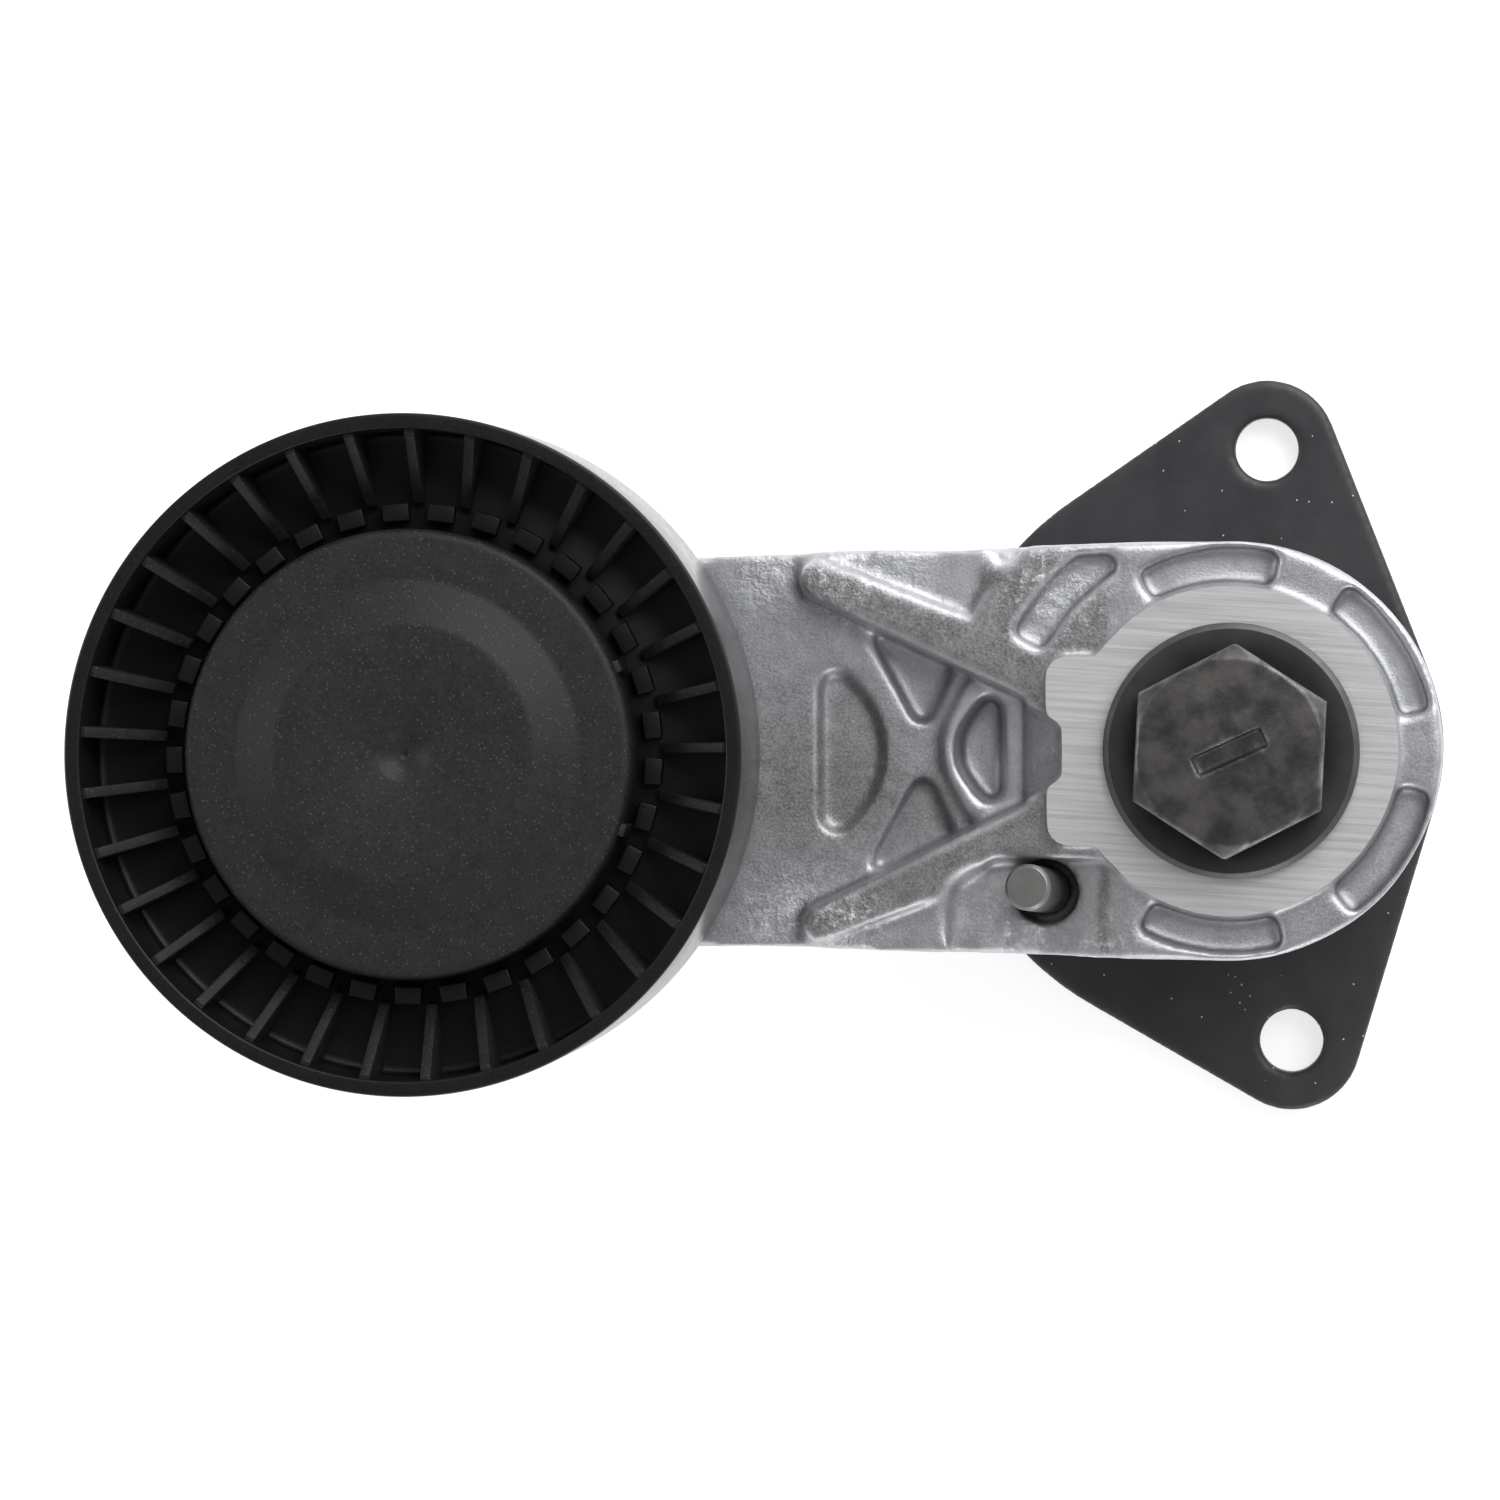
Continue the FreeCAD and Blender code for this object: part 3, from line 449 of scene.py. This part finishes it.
def neighbourMean(values, pairs):  # average of each vertex's neighbours
    total = np.zeros(values.shape)
    number = np.zeros(len(values))
    for first, second in ((0, 1), (1, 0)):
        np.add.at(total, pairs[:, first], values[pairs[:, second]])
        np.add.at(number, pairs[:, first], 1)
    return total / np.maximum(number, 1).reshape((-1,) + (1,) * (values.ndim - 1))


def blurred(values, pairs, rounds=2):
    for _ in range(rounds):
        values = 0.5 * values + 0.5 * neighbourMean(values, pairs)
    return values


def paintConvexity(mesh, reach, rounds=3):  # 0.5 on flats, 1 on outer edges, 0 in hollows
    co = coordinates(mesh).astype(float)
    pairs = edgePairs(mesh)
    outwards = ((co - blurred(co, pairs, rounds)) * vertexNormals(mesh)).sum(1)
    outwards = blurred(outwards, pairs)
    paintValue(mesh, "convexity", np.clip(0.5 + outwards / reach, 0, 1))


def paintValue(mesh, name, values):
    layer = mesh.attributes.new(name, "FLOAT", "POINT")
    layer.data.foreach_set("value", values.astype(np.float32))


def remeshed(obj, voxel, rounds):  # even skin over the solid, its corners eased by smoothing
    skin = obj.modifiers.new("skin", "REMESH")
    skin.mode = "VOXEL"
    skin.voxel_size = voxel
    ease = obj.modifiers.new("ease", "SMOOTH")
    ease.factor = 0.5
    ease.iterations = rounds
    return settled(obj)


def standFor(obj, node, body):
    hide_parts(node)
    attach(obj, body)


def smoothShade(mesh):
    mesh.polygons.foreach_set("use_smooth", np.ones(len(mesh.polygons), bool))


def lattice(points, seed):  # smooth noise from -1 to 1, one value to each whole-number place
    cell = np.floor(points).astype(np.int64)
    part = points - cell
    part = part * part * (3 - 2 * part)
    total = np.zeros(len(points))
    for corner in range(8):
        offset = np.array([(corner >> k) & 1 for k in range(3)])
        place = cell + offset
        code = (place[:, 0] * 73856093) ^ (place[:, 1] * 19349663) ^ (place[:, 2] * 83492791) ^ seed
        value = ((code * 2654435761) & 0xFFFFFF) / 0x7FFFFF - 1.0
        weight = np.prod(np.where(offset == 1, part, 1 - part), axis=1)
        total += value * weight
    return total


def layered(points, size, seed, layers=3):
    total = np.zeros(len(points))
    share = 1.0
    for layer in range(layers):
        total += share * lattice(points / (size * mm) * 2 ** layer + 17.3 * layer, seed + layer)
        share *= 0.5
    return total


def armCasting():
    arm = dict(voxel=0.5 * mm, easing=8, stock=1.2 * mm, skinSize=1.6, skinDepth=0.012 * mm,
               roughSpots=((-52, 24, 8), (-44, 26, 5), (-23, 21, 7), (-27, -23, 6), (-50, -24, 6),
                           (-60, 23, 5), (-58, -22, 6), (-17, -26, 5)),  # each is x, y, reach
               roughSize=2.6, roughDepth=0.16 * mm, waveSize=12 * mm, waveDepth=0.26 * mm,
               softSpots=((-34.5, -20, 5.5), (-30, 23.5, 3)), softRounds=50, edgeReach=0.22 * mm)
    obj = weldedCopy("arm_casting", "armCasting")
    co = coordinates(obj.data)
    top = co[:, 2] > hubFaceZ - 0.01 * mm
    co[top, 2] += arm["stock"]  # stock that the milling takes off again
    setCoordinates(obj.data, co)
    remeshed(obj, arm["voxel"], arm["easing"])
    mesh = obj.data
    for x, y, reach in arm["softSpots"]:
        easeSpot(mesh, x, y, reach, arm["softRounds"])
    co = coordinates(mesh).astype(float)
    normals = vertexNormals(mesh)
    skin = layered(co, arm["skinSize"], 5) * arm["skinDepth"]
    skin += lattice(co / arm["waveSize"], 77) * arm["waveDepth"]
    crinkle = (0.5 - np.abs(layered(co, arm["roughSize"], 23))) * arm["roughDepth"]
    rough = np.zeros(len(co))
    for x, y, reach in arm["roughSpots"]:
        away = ((co[:, 0] / mm - x) ** 2 + (co[:, 1] / mm - y) ** 2) / reach ** 2
        rough = np.maximum(rough, np.exp(-away))
    rough *= co[:, 2] > frontZ
    co += normals * (skin + crinkle * rough)[:, None]
    setCoordinates(mesh, co)
    paintValue(mesh, "torn", np.clip(rough, 0, 1))
    paintValue(mesh, "smoothSkinAndShade", skinToneAndShade(mesh))
    mesh.materials.clear()
    mesh.materials.append(finishes["cast_aluminium"])
    mesh.materials.append(finishes["milled"])
    smoothShade(mesh)
    millTop(mesh, hubFaceZ)
    paintConvexity(mesh, arm["edgeReach"])
    standFor(obj, "arm_casting", "arm")


def easeSpot(mesh, x, y, reach, rounds):  # smooths the front of the casting round one spot
    co = coordinates(mesh).astype(float)
    away = np.hypot(co[:, 0] / mm - x, co[:, 1] / mm - y)
    near = (away < reach) & (co[:, 2] > frontZ)
    pairs = edgePairs(mesh)
    pairs = pairs[near[pairs].any(axis=1)]
    weight = (near * np.clip(1 - away / reach, 0, 1))[:, None] ** 0.5
    for _ in range(rounds):
        mean = neighbourMean(co, pairs)
        co += weight * 0.6 * (mean - co)
    setCoordinates(mesh, co)


def skinToneAndShade(mesh):  # 1 where the skin is smooth and bright, 0 on the sandy tops of the ribs; it also carries painted shade next to the pulley and towards the -y side, and is lowered on the level tops
    skin = dict(pulleyShadeX=-53, pulleyShadeY=-3, reachX=19, reachY=13, pulleyShade=0.95, lowSide=25, lowSideShade=0.28,
                patchSize=7 * mm, patch=0.12, topDepth=1.9 * mm, levelTopDarken=0.25, levelNormal=0.85,
                ribStart=-16 * mm)
    co = coordinates(mesh).astype(float)
    x, y = co[:, 0] / mm, co[:, 1] / mm
    # painted shade next to the pulley, standing in for its dark reflection in the casting
    fromPulleyShade = ((x - skin["pulleyShadeX"]) / skin["reachX"]) ** 2
    fromPulleyShade += ((y - skin["pulleyShadeY"]) / skin["reachY"]) ** 2
    tone = 1 - skin["pulleyShade"] * np.exp(-fromPulleyShade)
    # painted shade: darker towards the low, -y side
    tone -= skin["lowSideShade"] * np.clip(-y / skin["lowSide"], 0, 1)
    tone += skin["patch"] * lattice(co / skin["patchSize"], 91)
    # darker on the level tops of the casting
    level = vertexNormals(mesh)[:, 2] > skin["levelNormal"]
    onTop = level & (co[:, 2] > hubFaceZ - skin["topDepth"])
    onRib = onTop & (co[:, 0] < skin["ribStart"])
    tone = np.clip(tone - skin["levelTopDarken"] * onTop, 0, 1) * (1 - onRib)
    return blurred(tone, edgePairs(mesh))


def millTop(mesh, level):  # cuts away what is above the level and closes it with a flat face
    work = bmesh.new()
    work.from_mesh(mesh)
    cut = bmesh.ops.bisect_plane(work, geom=work.verts[:] + work.edges[:] + work.faces[:],
                                 plane_co=(0, 0, level), plane_no=(0, 0, 1), clear_outer=True)
    rim = [e for e in cut["geom_cut"] if isinstance(e, bmesh.types.BMEdge)]
    filled = bmesh.ops.triangle_fill(work, edges=rim, use_beauty=True, normal=(0, 0, 1))
    for face in filled["geom"]:
        if isinstance(face, bmesh.types.BMFace):
            face.material_index = 1
            face.smooth = False
            if face.normal.z < 0:
                face.normal_flip()
    for edge in rim:
        edge.smooth = False
    work.to_mesh(mesh)
    work.free()


armCasting()
print("stage: arm casting ready")


def roundedProfile(corners, steps=4):  # corners are (radius, z, rounding, finish)
    points = []
    count = len(corners)
    for index, (r, z, rounding, finish) in enumerate(corners):
        here = Vector((r, z))
        if rounding == 0:
            points.append((here, finish))
            continue
        before = Vector(corners[index - 1][:2]) - here
        after = Vector(corners[(index + 1) % count][:2]) - here
        cut = min(rounding, before.length * 0.45, after.length * 0.45)
        start = here + before.normalized() * cut
        end = here + after.normalized() * cut
        for step in range(steps + 1):
            t = step / steps
            spot = start * (1 - t) ** 2 + here * 2 * t * (1 - t) + end * t ** 2
            points.append((spot, corners[index - 1][3] if step < steps / 2 else finish))
    return points


def lathe(name, corners, axisX, finishNames, segments=192):  # turned shape, sizes in millimetres
    points = roundedProfile(corners)
    work = bmesh.new()
    rings = []
    for step in range(segments):
        angle = 2 * math.pi * step / segments
        rings.append([work.verts.new((axisX + p.x * mm * math.cos(angle),
                                      p.x * mm * math.sin(angle), p.y * mm)) for p, _ in points])
    for step in range(segments):
        one, two = rings[step], rings[(step + 1) % segments]
        for index in range(len(points)):
            following = (index + 1) % len(points)
            face = work.faces.new((one[index], two[index], two[following], one[following]))
            face.material_index = finishNames.index(points[index][1])
            face.smooth = True
    bmesh.ops.remove_doubles(work, verts=work.verts, dist=0.0000005)
    bmesh.ops.dissolve_degenerate(work, edges=work.edges, dist=0.0000001)
    bmesh.ops.recalc_face_normals(work, faces=work.faces)
    mesh = bpy.data.meshes.new(name)
    work.to_mesh(mesh)
    work.free()
    for finish in finishNames:
        mesh.materials.append(finishes[finish])
    return newObject(name, mesh)


def makeRoundTree():  # copies of one shape, evenly round a vertical axis
    tree = bpy.data.node_groups.new("roundTheAxis", "GeometryNodeTree")
    face = tree.interface
    face.new_socket("Geometry", in_out="INPUT", socket_type="NodeSocketGeometry")
    for label, kind, value in (("Count", "NodeSocketInt", 8), ("Start", "NodeSocketFloat", 0.0),
                               ("Axis", "NodeSocketVector", (0, 0, 0)),
                               ("Material", "NodeSocketMaterial", None)):
        socket = face.new_socket(label, in_out="INPUT", socket_type=kind)
        if value is not None:
            socket.default_value = value
    face.new_socket("Geometry", in_out="OUTPUT", socket_type="NodeSocketGeometry")
    given, result = tree.nodes.new("NodeGroupInput"), tree.nodes.new("NodeGroupOutput")
    points = addNode(tree, "GeometryNodePoints")
    wire(tree, (given, "Count"), (points, "Count"))
    number = addNode(tree, "GeometryNodeInputIndex")
    step = mathNode(tree, "DIVIDE", 2 * math.pi, (given, "Count"))
    angle = mathNode(tree, "MULTIPLY", (number, "Index"), (step, "Value"))
    turned = mathNode(tree, "ADD", (angle, "Value"), (given, "Start"))
    spin = addNode(tree, "ShaderNodeCombineXYZ")
    wire(tree, (turned, "Value"), (spin, "Z"))
    copies = addNode(tree, "GeometryNodeInstanceOnPoints")
    wire(tree, (points, 0), (copies, "Points"))
    wire(tree, (given, "Geometry"), (copies, "Instance"))
    wire(tree, (spin, "Vector"), (copies, "Rotation"))
    moved = addNode(tree, "GeometryNodeTransform")
    wire(tree, (copies, "Instances"), (moved, "Geometry"))
    wire(tree, (given, "Axis"), (moved, "Translation"))
    real = addNode(tree, "GeometryNodeRealizeInstances")
    wire(tree, (moved, "Geometry"), (real, "Geometry"))
    finish = addNode(tree, "GeometryNodeSetMaterial")
    wire(tree, (real, "Geometry"), (finish, "Geometry"))
    wire(tree, (given, "Material"), (finish, "Material"))
    wire(tree, (finish, "Geometry"), (result, "Geometry"))
    return tree


roundTree = makeRoundTree()


def roundAxis(obj, count, startDegrees, axisX, finish):
    ring = obj.modifiers.new("round", "NODES")
    ring.node_group = roundTree
    values = {"Count": count, "Start": math.radians(startDegrees), "Axis": (axisX, 0, 0),
              "Material": finishes[finish]}
    for item in roundTree.interface.items_tree:
        if item.in_out == "INPUT" and item.name in values:
            ring[item.identifier] = values[item.name]
    return settled(obj)


def uprightRib(name, corners, thickness, rounding):  # from (radius, z) corners in millimetres
    work = bmesh.new()
    near = [work.verts.new((r * mm, -thickness / 2 * mm, z * mm)) for r, z in corners]
    face = work.faces.new(near)
    pushed = bmesh.ops.extrude_face_region(work, geom=[face])
    for item in pushed["geom"]:
        if isinstance(item, bmesh.types.BMVert):
            item.co.y += thickness * mm
    bmesh.ops.recalc_face_normals(work, faces=work.faces)
    bmesh.ops.bevel(work, geom=work.edges[:], offset=rounding * mm, segments=2, affect="EDGES",
                    profile=0.6)
    for each in work.faces:
        each.smooth = True
    mesh = bpy.data.meshes.new(name)
    work.to_mesh(mesh)
    work.free()
    return newObject(name, mesh)


def gathered(name, objects):  # one object from several, with their finishes
    work = bmesh.new()
    used = []
    for obj in objects:
        start = len(work.faces)
        work.from_mesh(obj.data)
        work.faces.ensure_lookup_table()
        for face in work.faces[start:]:
            finish = obj.data.materials[face.material_index]
            if finish not in used:
                used.append(finish)
            face.material_index = used.index(finish)
        bpy.data.objects.remove(obj)
    mesh = bpy.data.meshes.new(name)
    work.to_mesh(mesh)
    work.free()
    for finish in used:
        mesh.materials.append(finish)
    return newObject(name, mesh)


def softened(node, name, width, finish, edgeFinish, angle):
    obj = weldedCopy(node, name)  # a CAD shape whose sharp edges are rounded, in their own finish
    obj.data.materials.clear()
    obj.data.materials.append(finishes[finish])
    obj.data.materials.append(finishes[edgeFinish])
    ease = obj.modifiers.new("ease", "BEVEL")
    ease.width = width
    ease.segments = 3
    ease.limit_method = "ANGLE"
    ease.angle_limit = math.radians(angle)
    ease.material = 1
    settled(obj)
    smoothShade(obj.data)
    even = obj.modifiers.new("even", "WEIGHTED_NORMAL")
    even.weight = 100
    return settled(obj)


def pulleyWheel():
    low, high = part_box("pulley_wheel")
    seatLow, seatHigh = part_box("bearing_outer_ring")
    back, front = low.z / mm, high.z / mm
    outside = (high.x - low.x) / 2 / mm
    seat = (seatHigh.x - seatLow.x) / 2 / mm
    seatBack, seatFront = seatLow.z / mm, seatHigh.z / mm
    capRadius = (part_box("dust_cap")[1].x - pulleyX) / mm
    wheel = dict(rimWall=2.0, webThickness=2.5, webForward=4.5, lip=1.4, lipStep=0.9, hub=3.3,
                 capWall=2.2, collar=4.0, collarWall=1.6, ribs=33, ribThickness=1.35, start=1.2,
                 ribDrop=1.1, ribFoot=1.2, sunk=0.5, backDrop=1.0, backRise=3.0, blockGap=1.1,
                 blockReach=3.4, blockHeight=1.5, blockWidth=3.4, easing=0.16)
    inside = outside - wheel["rimWall"]
    floorZ = (seatBack + seatFront) / 2 + wheel["webForward"]
    webBack = floorZ - wheel["webThickness"]
    lip = seat - wheel["lip"]
    lipBack = seatBack - wheel["lipStep"]
    hub = seat + wheel["hub"]
    collar = capRadius - wheel["capWall"]
    collarInside = collar - wheel["collarWall"]
    collarZ = floorZ + wheel["collar"]
    lipFront = seatFront + 1
    body, belt, rib = "pulley_plastic", "belt_plastic", "rib_plastic"
    corners = [
        (seat, seatBack, 0, body), (lip, seatBack, 0, body), (lip, lipBack, 0.2, body),
        (hub, lipBack, 0.4, body), (hub, webBack, 0.8, body), (inside, webBack, 1.0, body),
        (inside, back, 0.25, body), (outside, back, 0.7, belt), (outside, front, 0.45, body),
        (inside, front, 0.35, body), (inside, floorZ, 1.2, body), (collar, floorZ, 0, body),
        (collar, collarZ, 0.2, body), (collarInside, collarZ, 0.2, body),
        (collarInside, lipFront, 0.4, body), (lip, lipFront, 0.2, body),
        (lip, seatFront, 0, body), (seat, seatFront, 0, body)]
    parts = [lathe("wheelBody", corners, pulleyX, [body, belt], segments=264)]
    root = inside + wheel["rimWall"] * 0.4
    ribTopZ, ribBackZ = front - wheel["ribDrop"], back + wheel["backDrop"]
    sunkZ = floorZ - wheel["sunk"]  # the feet of ribs and blocks reach into the web
    sunkBack = webBack + wheel["sunk"]
    blockNear, blockFar = capRadius + wheel["blockGap"], capRadius + wheel["blockReach"]
    blockTop = floorZ + wheel["blockHeight"]
    frontRib = [(blockFar, sunkZ), (blockFar, floorZ + wheel["ribFoot"]), (inside - 0.6, ribTopZ),
                (root, ribTopZ), (root, sunkZ)]
    backRib = [(hub - 0.5, sunkBack), (root, sunkBack), (root, ribBackZ), (inside - 0.5, ribBackZ),
               (hub - 0.5, seatBack + wheel["backRise"])]
    block = [(blockNear, sunkZ), (blockNear, blockTop), (blockFar, blockTop), (blockFar, sunkZ)]
    count, start = wheel["ribs"], wheel["start"]
    for name, outline, thickness, turn, finish in (
            ("frontRibs", frontRib, wheel["ribThickness"], start, rib),
            ("backRibs", backRib, wheel["ribThickness"], start, rib),
            ("blocks", block, wheel["blockWidth"], start + 180 / count, body)):
        piece = uprightRib(name, outline, thickness, wheel["easing"])
        parts.append(roundAxis(piece, count, turn, pulleyX, finish))
    standFor(gathered("pulleyWheel", parts), "pulley_wheel", "pulley")


def dustCap():
    low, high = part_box("dust_cap")
    radius = (high.x - low.x) / 2 / mm
    foot, discZ = low.z / mm, high.z / mm
    cap = dict(wall=2.0, ringDrop=2.4, discEdge=12.2, coneEdge=6.6, dimpleRadius=3.7,
               dimpleDepth=1.25, dimpleSteps=8, gate=0.45, gateDepth=0.35, tabWidth=1.6,
               tabTurns=(22.5, 340.5), easing=0.15)
    disc, cone = radius - cap["discEdge"], radius - cap["coneEdge"]
    inside = radius - cap["wall"]
    ringZ = discZ - cap["ringDrop"]
    innerRingZ, innerDiscZ = ringZ - cap["wall"], discZ - cap["wall"]
    gateZ = discZ - cap["dimpleDepth"]
    skin = "cap_plastic"
    dimple = []
    for step in range(cap["dimpleSteps"] + 1):
        share = step / cap["dimpleSteps"]
        r = cap["gate"] + (cap["dimpleRadius"] - cap["gate"]) * share
        depth = cap["dimpleDepth"] * math.cos(share * math.pi / 2) ** 1.2
        dimple.append((r, discZ - depth, 0, skin))
    corners = [(0, gateZ - cap["gateDepth"], 0, skin),
               (cap["gate"] * 0.6, gateZ - cap["gateDepth"] + 0.1, 0, skin), *dimple,
               (disc, discZ, 0.5, skin), (cone, ringZ, 0.5, skin), (radius, ringZ, 1.3, skin),
               (radius, foot, 0.1, skin), (inside, foot, 0.1, skin),
               (inside, innerRingZ, 0.5, skin), (cone - 0.4, innerRingZ, 0, skin),
               (disc - 0.4, innerDiscZ, 0, skin), (0, innerDiscZ, 0, skin)]
    parts = [lathe("capShell", corners, pulleyX, [skin], segments=256)]
    tabSides = [(radius - 0.5, foot + 0.2), (radius + 0.9, foot + 0.2), (radius + 0.7, ringZ - 1.6),
                (radius - 0.5, ringZ - 1.4)]
    for turn in cap["tabTurns"]:
        tab = uprightRib("clipTab", tabSides, cap["tabWidth"], cap["easing"])
        parts.append(roundAxis(tab, 1, turn, pulleyX, skin))
    standFor(gathered("dustCap", parts), "dust_cap", "pulley")


def washer():
    low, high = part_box("retaining_washer")
    radius = (high.x - low.x) / 2 / mm
    bottom, top = low.z / mm, high.z / mm
    ring = dict(hole=8.3, chamferWidth=0.75, chamferDepth=0.5)
    # the chamfer takes the lighter washer_edge finish, a painted highlight
    hole, face, edge = ring["hole"], "dark_washer", "washer_edge"
    corners = [(hole, bottom, 0, face), (radius, bottom, 0.15, face),
               (radius, top - ring["chamferDepth"], 0.12, edge),
               (radius - ring["chamferWidth"], top, 0.12, face), (hole, top, 0, face)]
    standFor(lathe("washer", corners, 0, [face, edge]), "retaining_washer", "base")


def pivotBolt():
    bolt = dict(voxel=0.3 * mm, easing=5, dome=0.45 * mm, domeReach=12 * mm, topDepth=2.2 * mm,
                topFade=1.2 * mm, dent=0.10 * mm, dentSize=5.0, pit=0.03 * mm, pitSize=1.1,
                stepCentre=(11.5, -14.0), stepReach=9.6, stepFade=0.6, stepDepth=0.16 * mm)
    obj = weldedCopy("pivot_bolt", "pivotBolt")
    remeshed(obj, bolt["voxel"], bolt["easing"])
    mesh = obj.data
    co = coordinates(mesh).astype(float)
    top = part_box("pivot_bolt")[1].z
    onTop = np.clip((co[:, 2] - (top - bolt["topDepth"])) / bolt["topFade"], 0, 1)
    radius = np.hypot(co[:, 0], co[:, 1])
    co[:, 2] -= onTop * bolt["dome"] * np.clip(radius / bolt["domeReach"], 0, 1.2) ** 3
    hammered = layered(co, bolt["dentSize"], 41) * bolt["dent"]
    pitted = layered(co, bolt["pitSize"], 57) * bolt["pit"]
    co[:, 2] += onTop * (hammered + pitted)
    stepX, stepY = bolt["stepCentre"]
    away = np.hypot(co[:, 0] / mm - stepX, co[:, 1] / mm - stepY)
    step = np.clip((bolt["stepReach"] - away) / bolt["stepFade"], 0, 1)
    co[:, 2] -= onTop * bolt["stepDepth"] * step
    setCoordinates(mesh, co)
    smoothShade(mesh)
    paintConvexity(mesh, 0.10 * mm, rounds=4)
    mesh.materials.clear()
    mesh.materials.append(finishes["dark_steel"])
    standFor(obj, "pivot_bolt", "base")


def mountingPlate():
    plate = dict(voxel=0.6 * mm, easing=2)
    obj = weldedCopy("mounting_plate", "mountingPlate")
    remeshed(obj, plate["voxel"], plate["easing"])
    smoothShade(obj.data)
    obj.data.materials.clear()
    obj.data.materials.append(finishes["coated_plate"])
    standFor(obj, "mounting_plate", "base")


def torsionSpring():  # a smooth-shaded copy of the CAD spring, attached to no body, though its foot sits in the case and its top in the arm
    obj = weldedCopy("torsion_spring", "torsionSpring")
    smoothShade(obj.data)
    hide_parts("torsion_spring")
    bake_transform(obj)


def stopPin():
    pin = dict(easing=0.12 * mm, sharpDegrees=20)
    obj = softened("stop_pin", "stopPin", pin["easing"], "pin_steel", "pin_rim",
                   pin["sharpDegrees"])
    standFor(obj, "stop_pin", "arm")


pulleyWheel()
dustCap()
washer()
pivotBolt()
print("stage: pulley, cap, washer and bolt ready")
mountingPlate()
torsionSpring()
stopPin()
print("stage: plate, spring and pin ready")


def stageFloor():
    ground = dict(reach=3.0, below=0.2 * mm, color=(0.7, 0.7, 0.7), roughness=0.9, glow=0.68)
    mesh = bpy.data.meshes.new("floor")
    reach = ground["reach"]
    corners = [(-reach, -reach, 0), (reach, -reach, 0), (reach, reach, 0), (-reach, reach, 0)]
    mesh.from_pydata(corners, [], [(0, 1, 2, 3)])
    floor = newObject("floor", mesh)
    floor.location.z = cadLow.z - ground["below"]
    material, tree, shader, _ = newMaterial("paleFloor", ground["color"], ground["roughness"],
                                            Emission_Color=(1, 1, 1, 1),
                                            Emission_Strength=ground["glow"])
    side = addNode(tree, "ShaderNodeNewGeometry")  # from below, the floor lets the view through
    clear = addNode(tree, "ShaderNodeBsdfTransparent")
    choice = addNode(tree, "ShaderNodeMixShader")
    wire(tree, (side, "Backfacing"), (choice, 0))
    wire(tree, (shader, "BSDF"), (choice, 1))
    wire(tree, (clear, "BSDF"), (choice, 2))
    wire(tree, (choice, "Shader"), (tree.nodes["Material Output"], "Surface"))
    mesh.materials.append(material)


def areaLight(name, place, target, size, power):
    light = bpy.data.lights.new(name, "AREA")
    light.shape = "DISK"
    light.size = size
    light.energy = power
    lamp = bpy.data.objects.new(name, light)
    bpy.context.scene.collection.objects.link(lamp)
    lamp.location = place
    lamp.rotation_euler = (Vector(target) - Vector(place)).to_track_quat("-Z", "Y").to_euler()


def studio():
    lamps = dict(topRightLight=((0.50, 0.80, 0.80), 1.3, 17),  # each is place, size, power
                 leftLight=((-1.0, 0.1, 0.35), 0.5, 2.5), lowLight=((0.2, -1.0, 0.35), 0.5, 3))
    tentLight = dict(sideHeight=0.50, topHeight=0.97, side=0.50, top=0.32)
    middle = (cadLow + cadHigh) / 2
    for name, (place, size, power) in lamps.items():
        areaLight(name, place, middle, size, power)
    world = bpy.data.worlds.new("studio")
    bpy.context.scene.world = world
    world.use_nodes = True
    tree = world.node_tree
    direction = addNode(tree, "ShaderNodeTexCoord")
    parts = addNode(tree, "ShaderNodeSeparateXYZ")
    wire(tree, (direction, "Generated"), (parts, "Vector"))
    tent = mapRange(tree, (parts, "Z"), tentLight["sideHeight"], tentLight["topHeight"],
                    tentLight["side"], tentLight["top"])  # darker overhead than at the sides
    wire(tree, (tent, "Result"), (tree.nodes["Background"], "Strength"))
    tree.nodes["Background"].inputs["Color"].default_value = (1, 1, 1, 1)
    bpy.context.scene.view_settings.view_transform = "Standard"


def camera():  # a long lens, almost straight down the pivot and a little from the upper right
    shot = dict(yaw=5.70, pitch=0.76, roll=-0.23, distance=0.8165, lens=150.93, filmWidth=36,
                aim=(-62.32 * mm, 0.25 * mm, 40 * mm))
    yaw, pitch, roll = (math.radians(shot[k]) for k in ("yaw", "pitch", "roll"))
    back = Vector((math.sin(yaw) * math.cos(pitch), math.sin(pitch),
                   math.cos(yaw) * math.cos(pitch)))
    right = Vector((0, 1, 0)).cross(back).normalized()
    up = back.cross(right)
    turnedRight = right * math.cos(roll) + up * math.sin(roll)
    turnedUp = up * math.cos(roll) - right * math.sin(roll)
    data = bpy.data.cameras.new("camera")
    data.lens = shot["lens"]
    data.sensor_width = shot["filmWidth"]
    data.clip_start = 0.01
    obj = bpy.data.objects.new("camera", data)
    bpy.context.scene.collection.objects.link(obj)
    place = Vector(shot["aim"]) + back * shot["distance"]
    turn = Matrix((turnedRight, turnedUp, back)).transposed()
    obj.matrix_world = Matrix.Translation(place) @ turn.to_4x4()
    bpy.context.scene.camera = obj


stageFloor()
studio()
camera()
print("stage: studio ready")
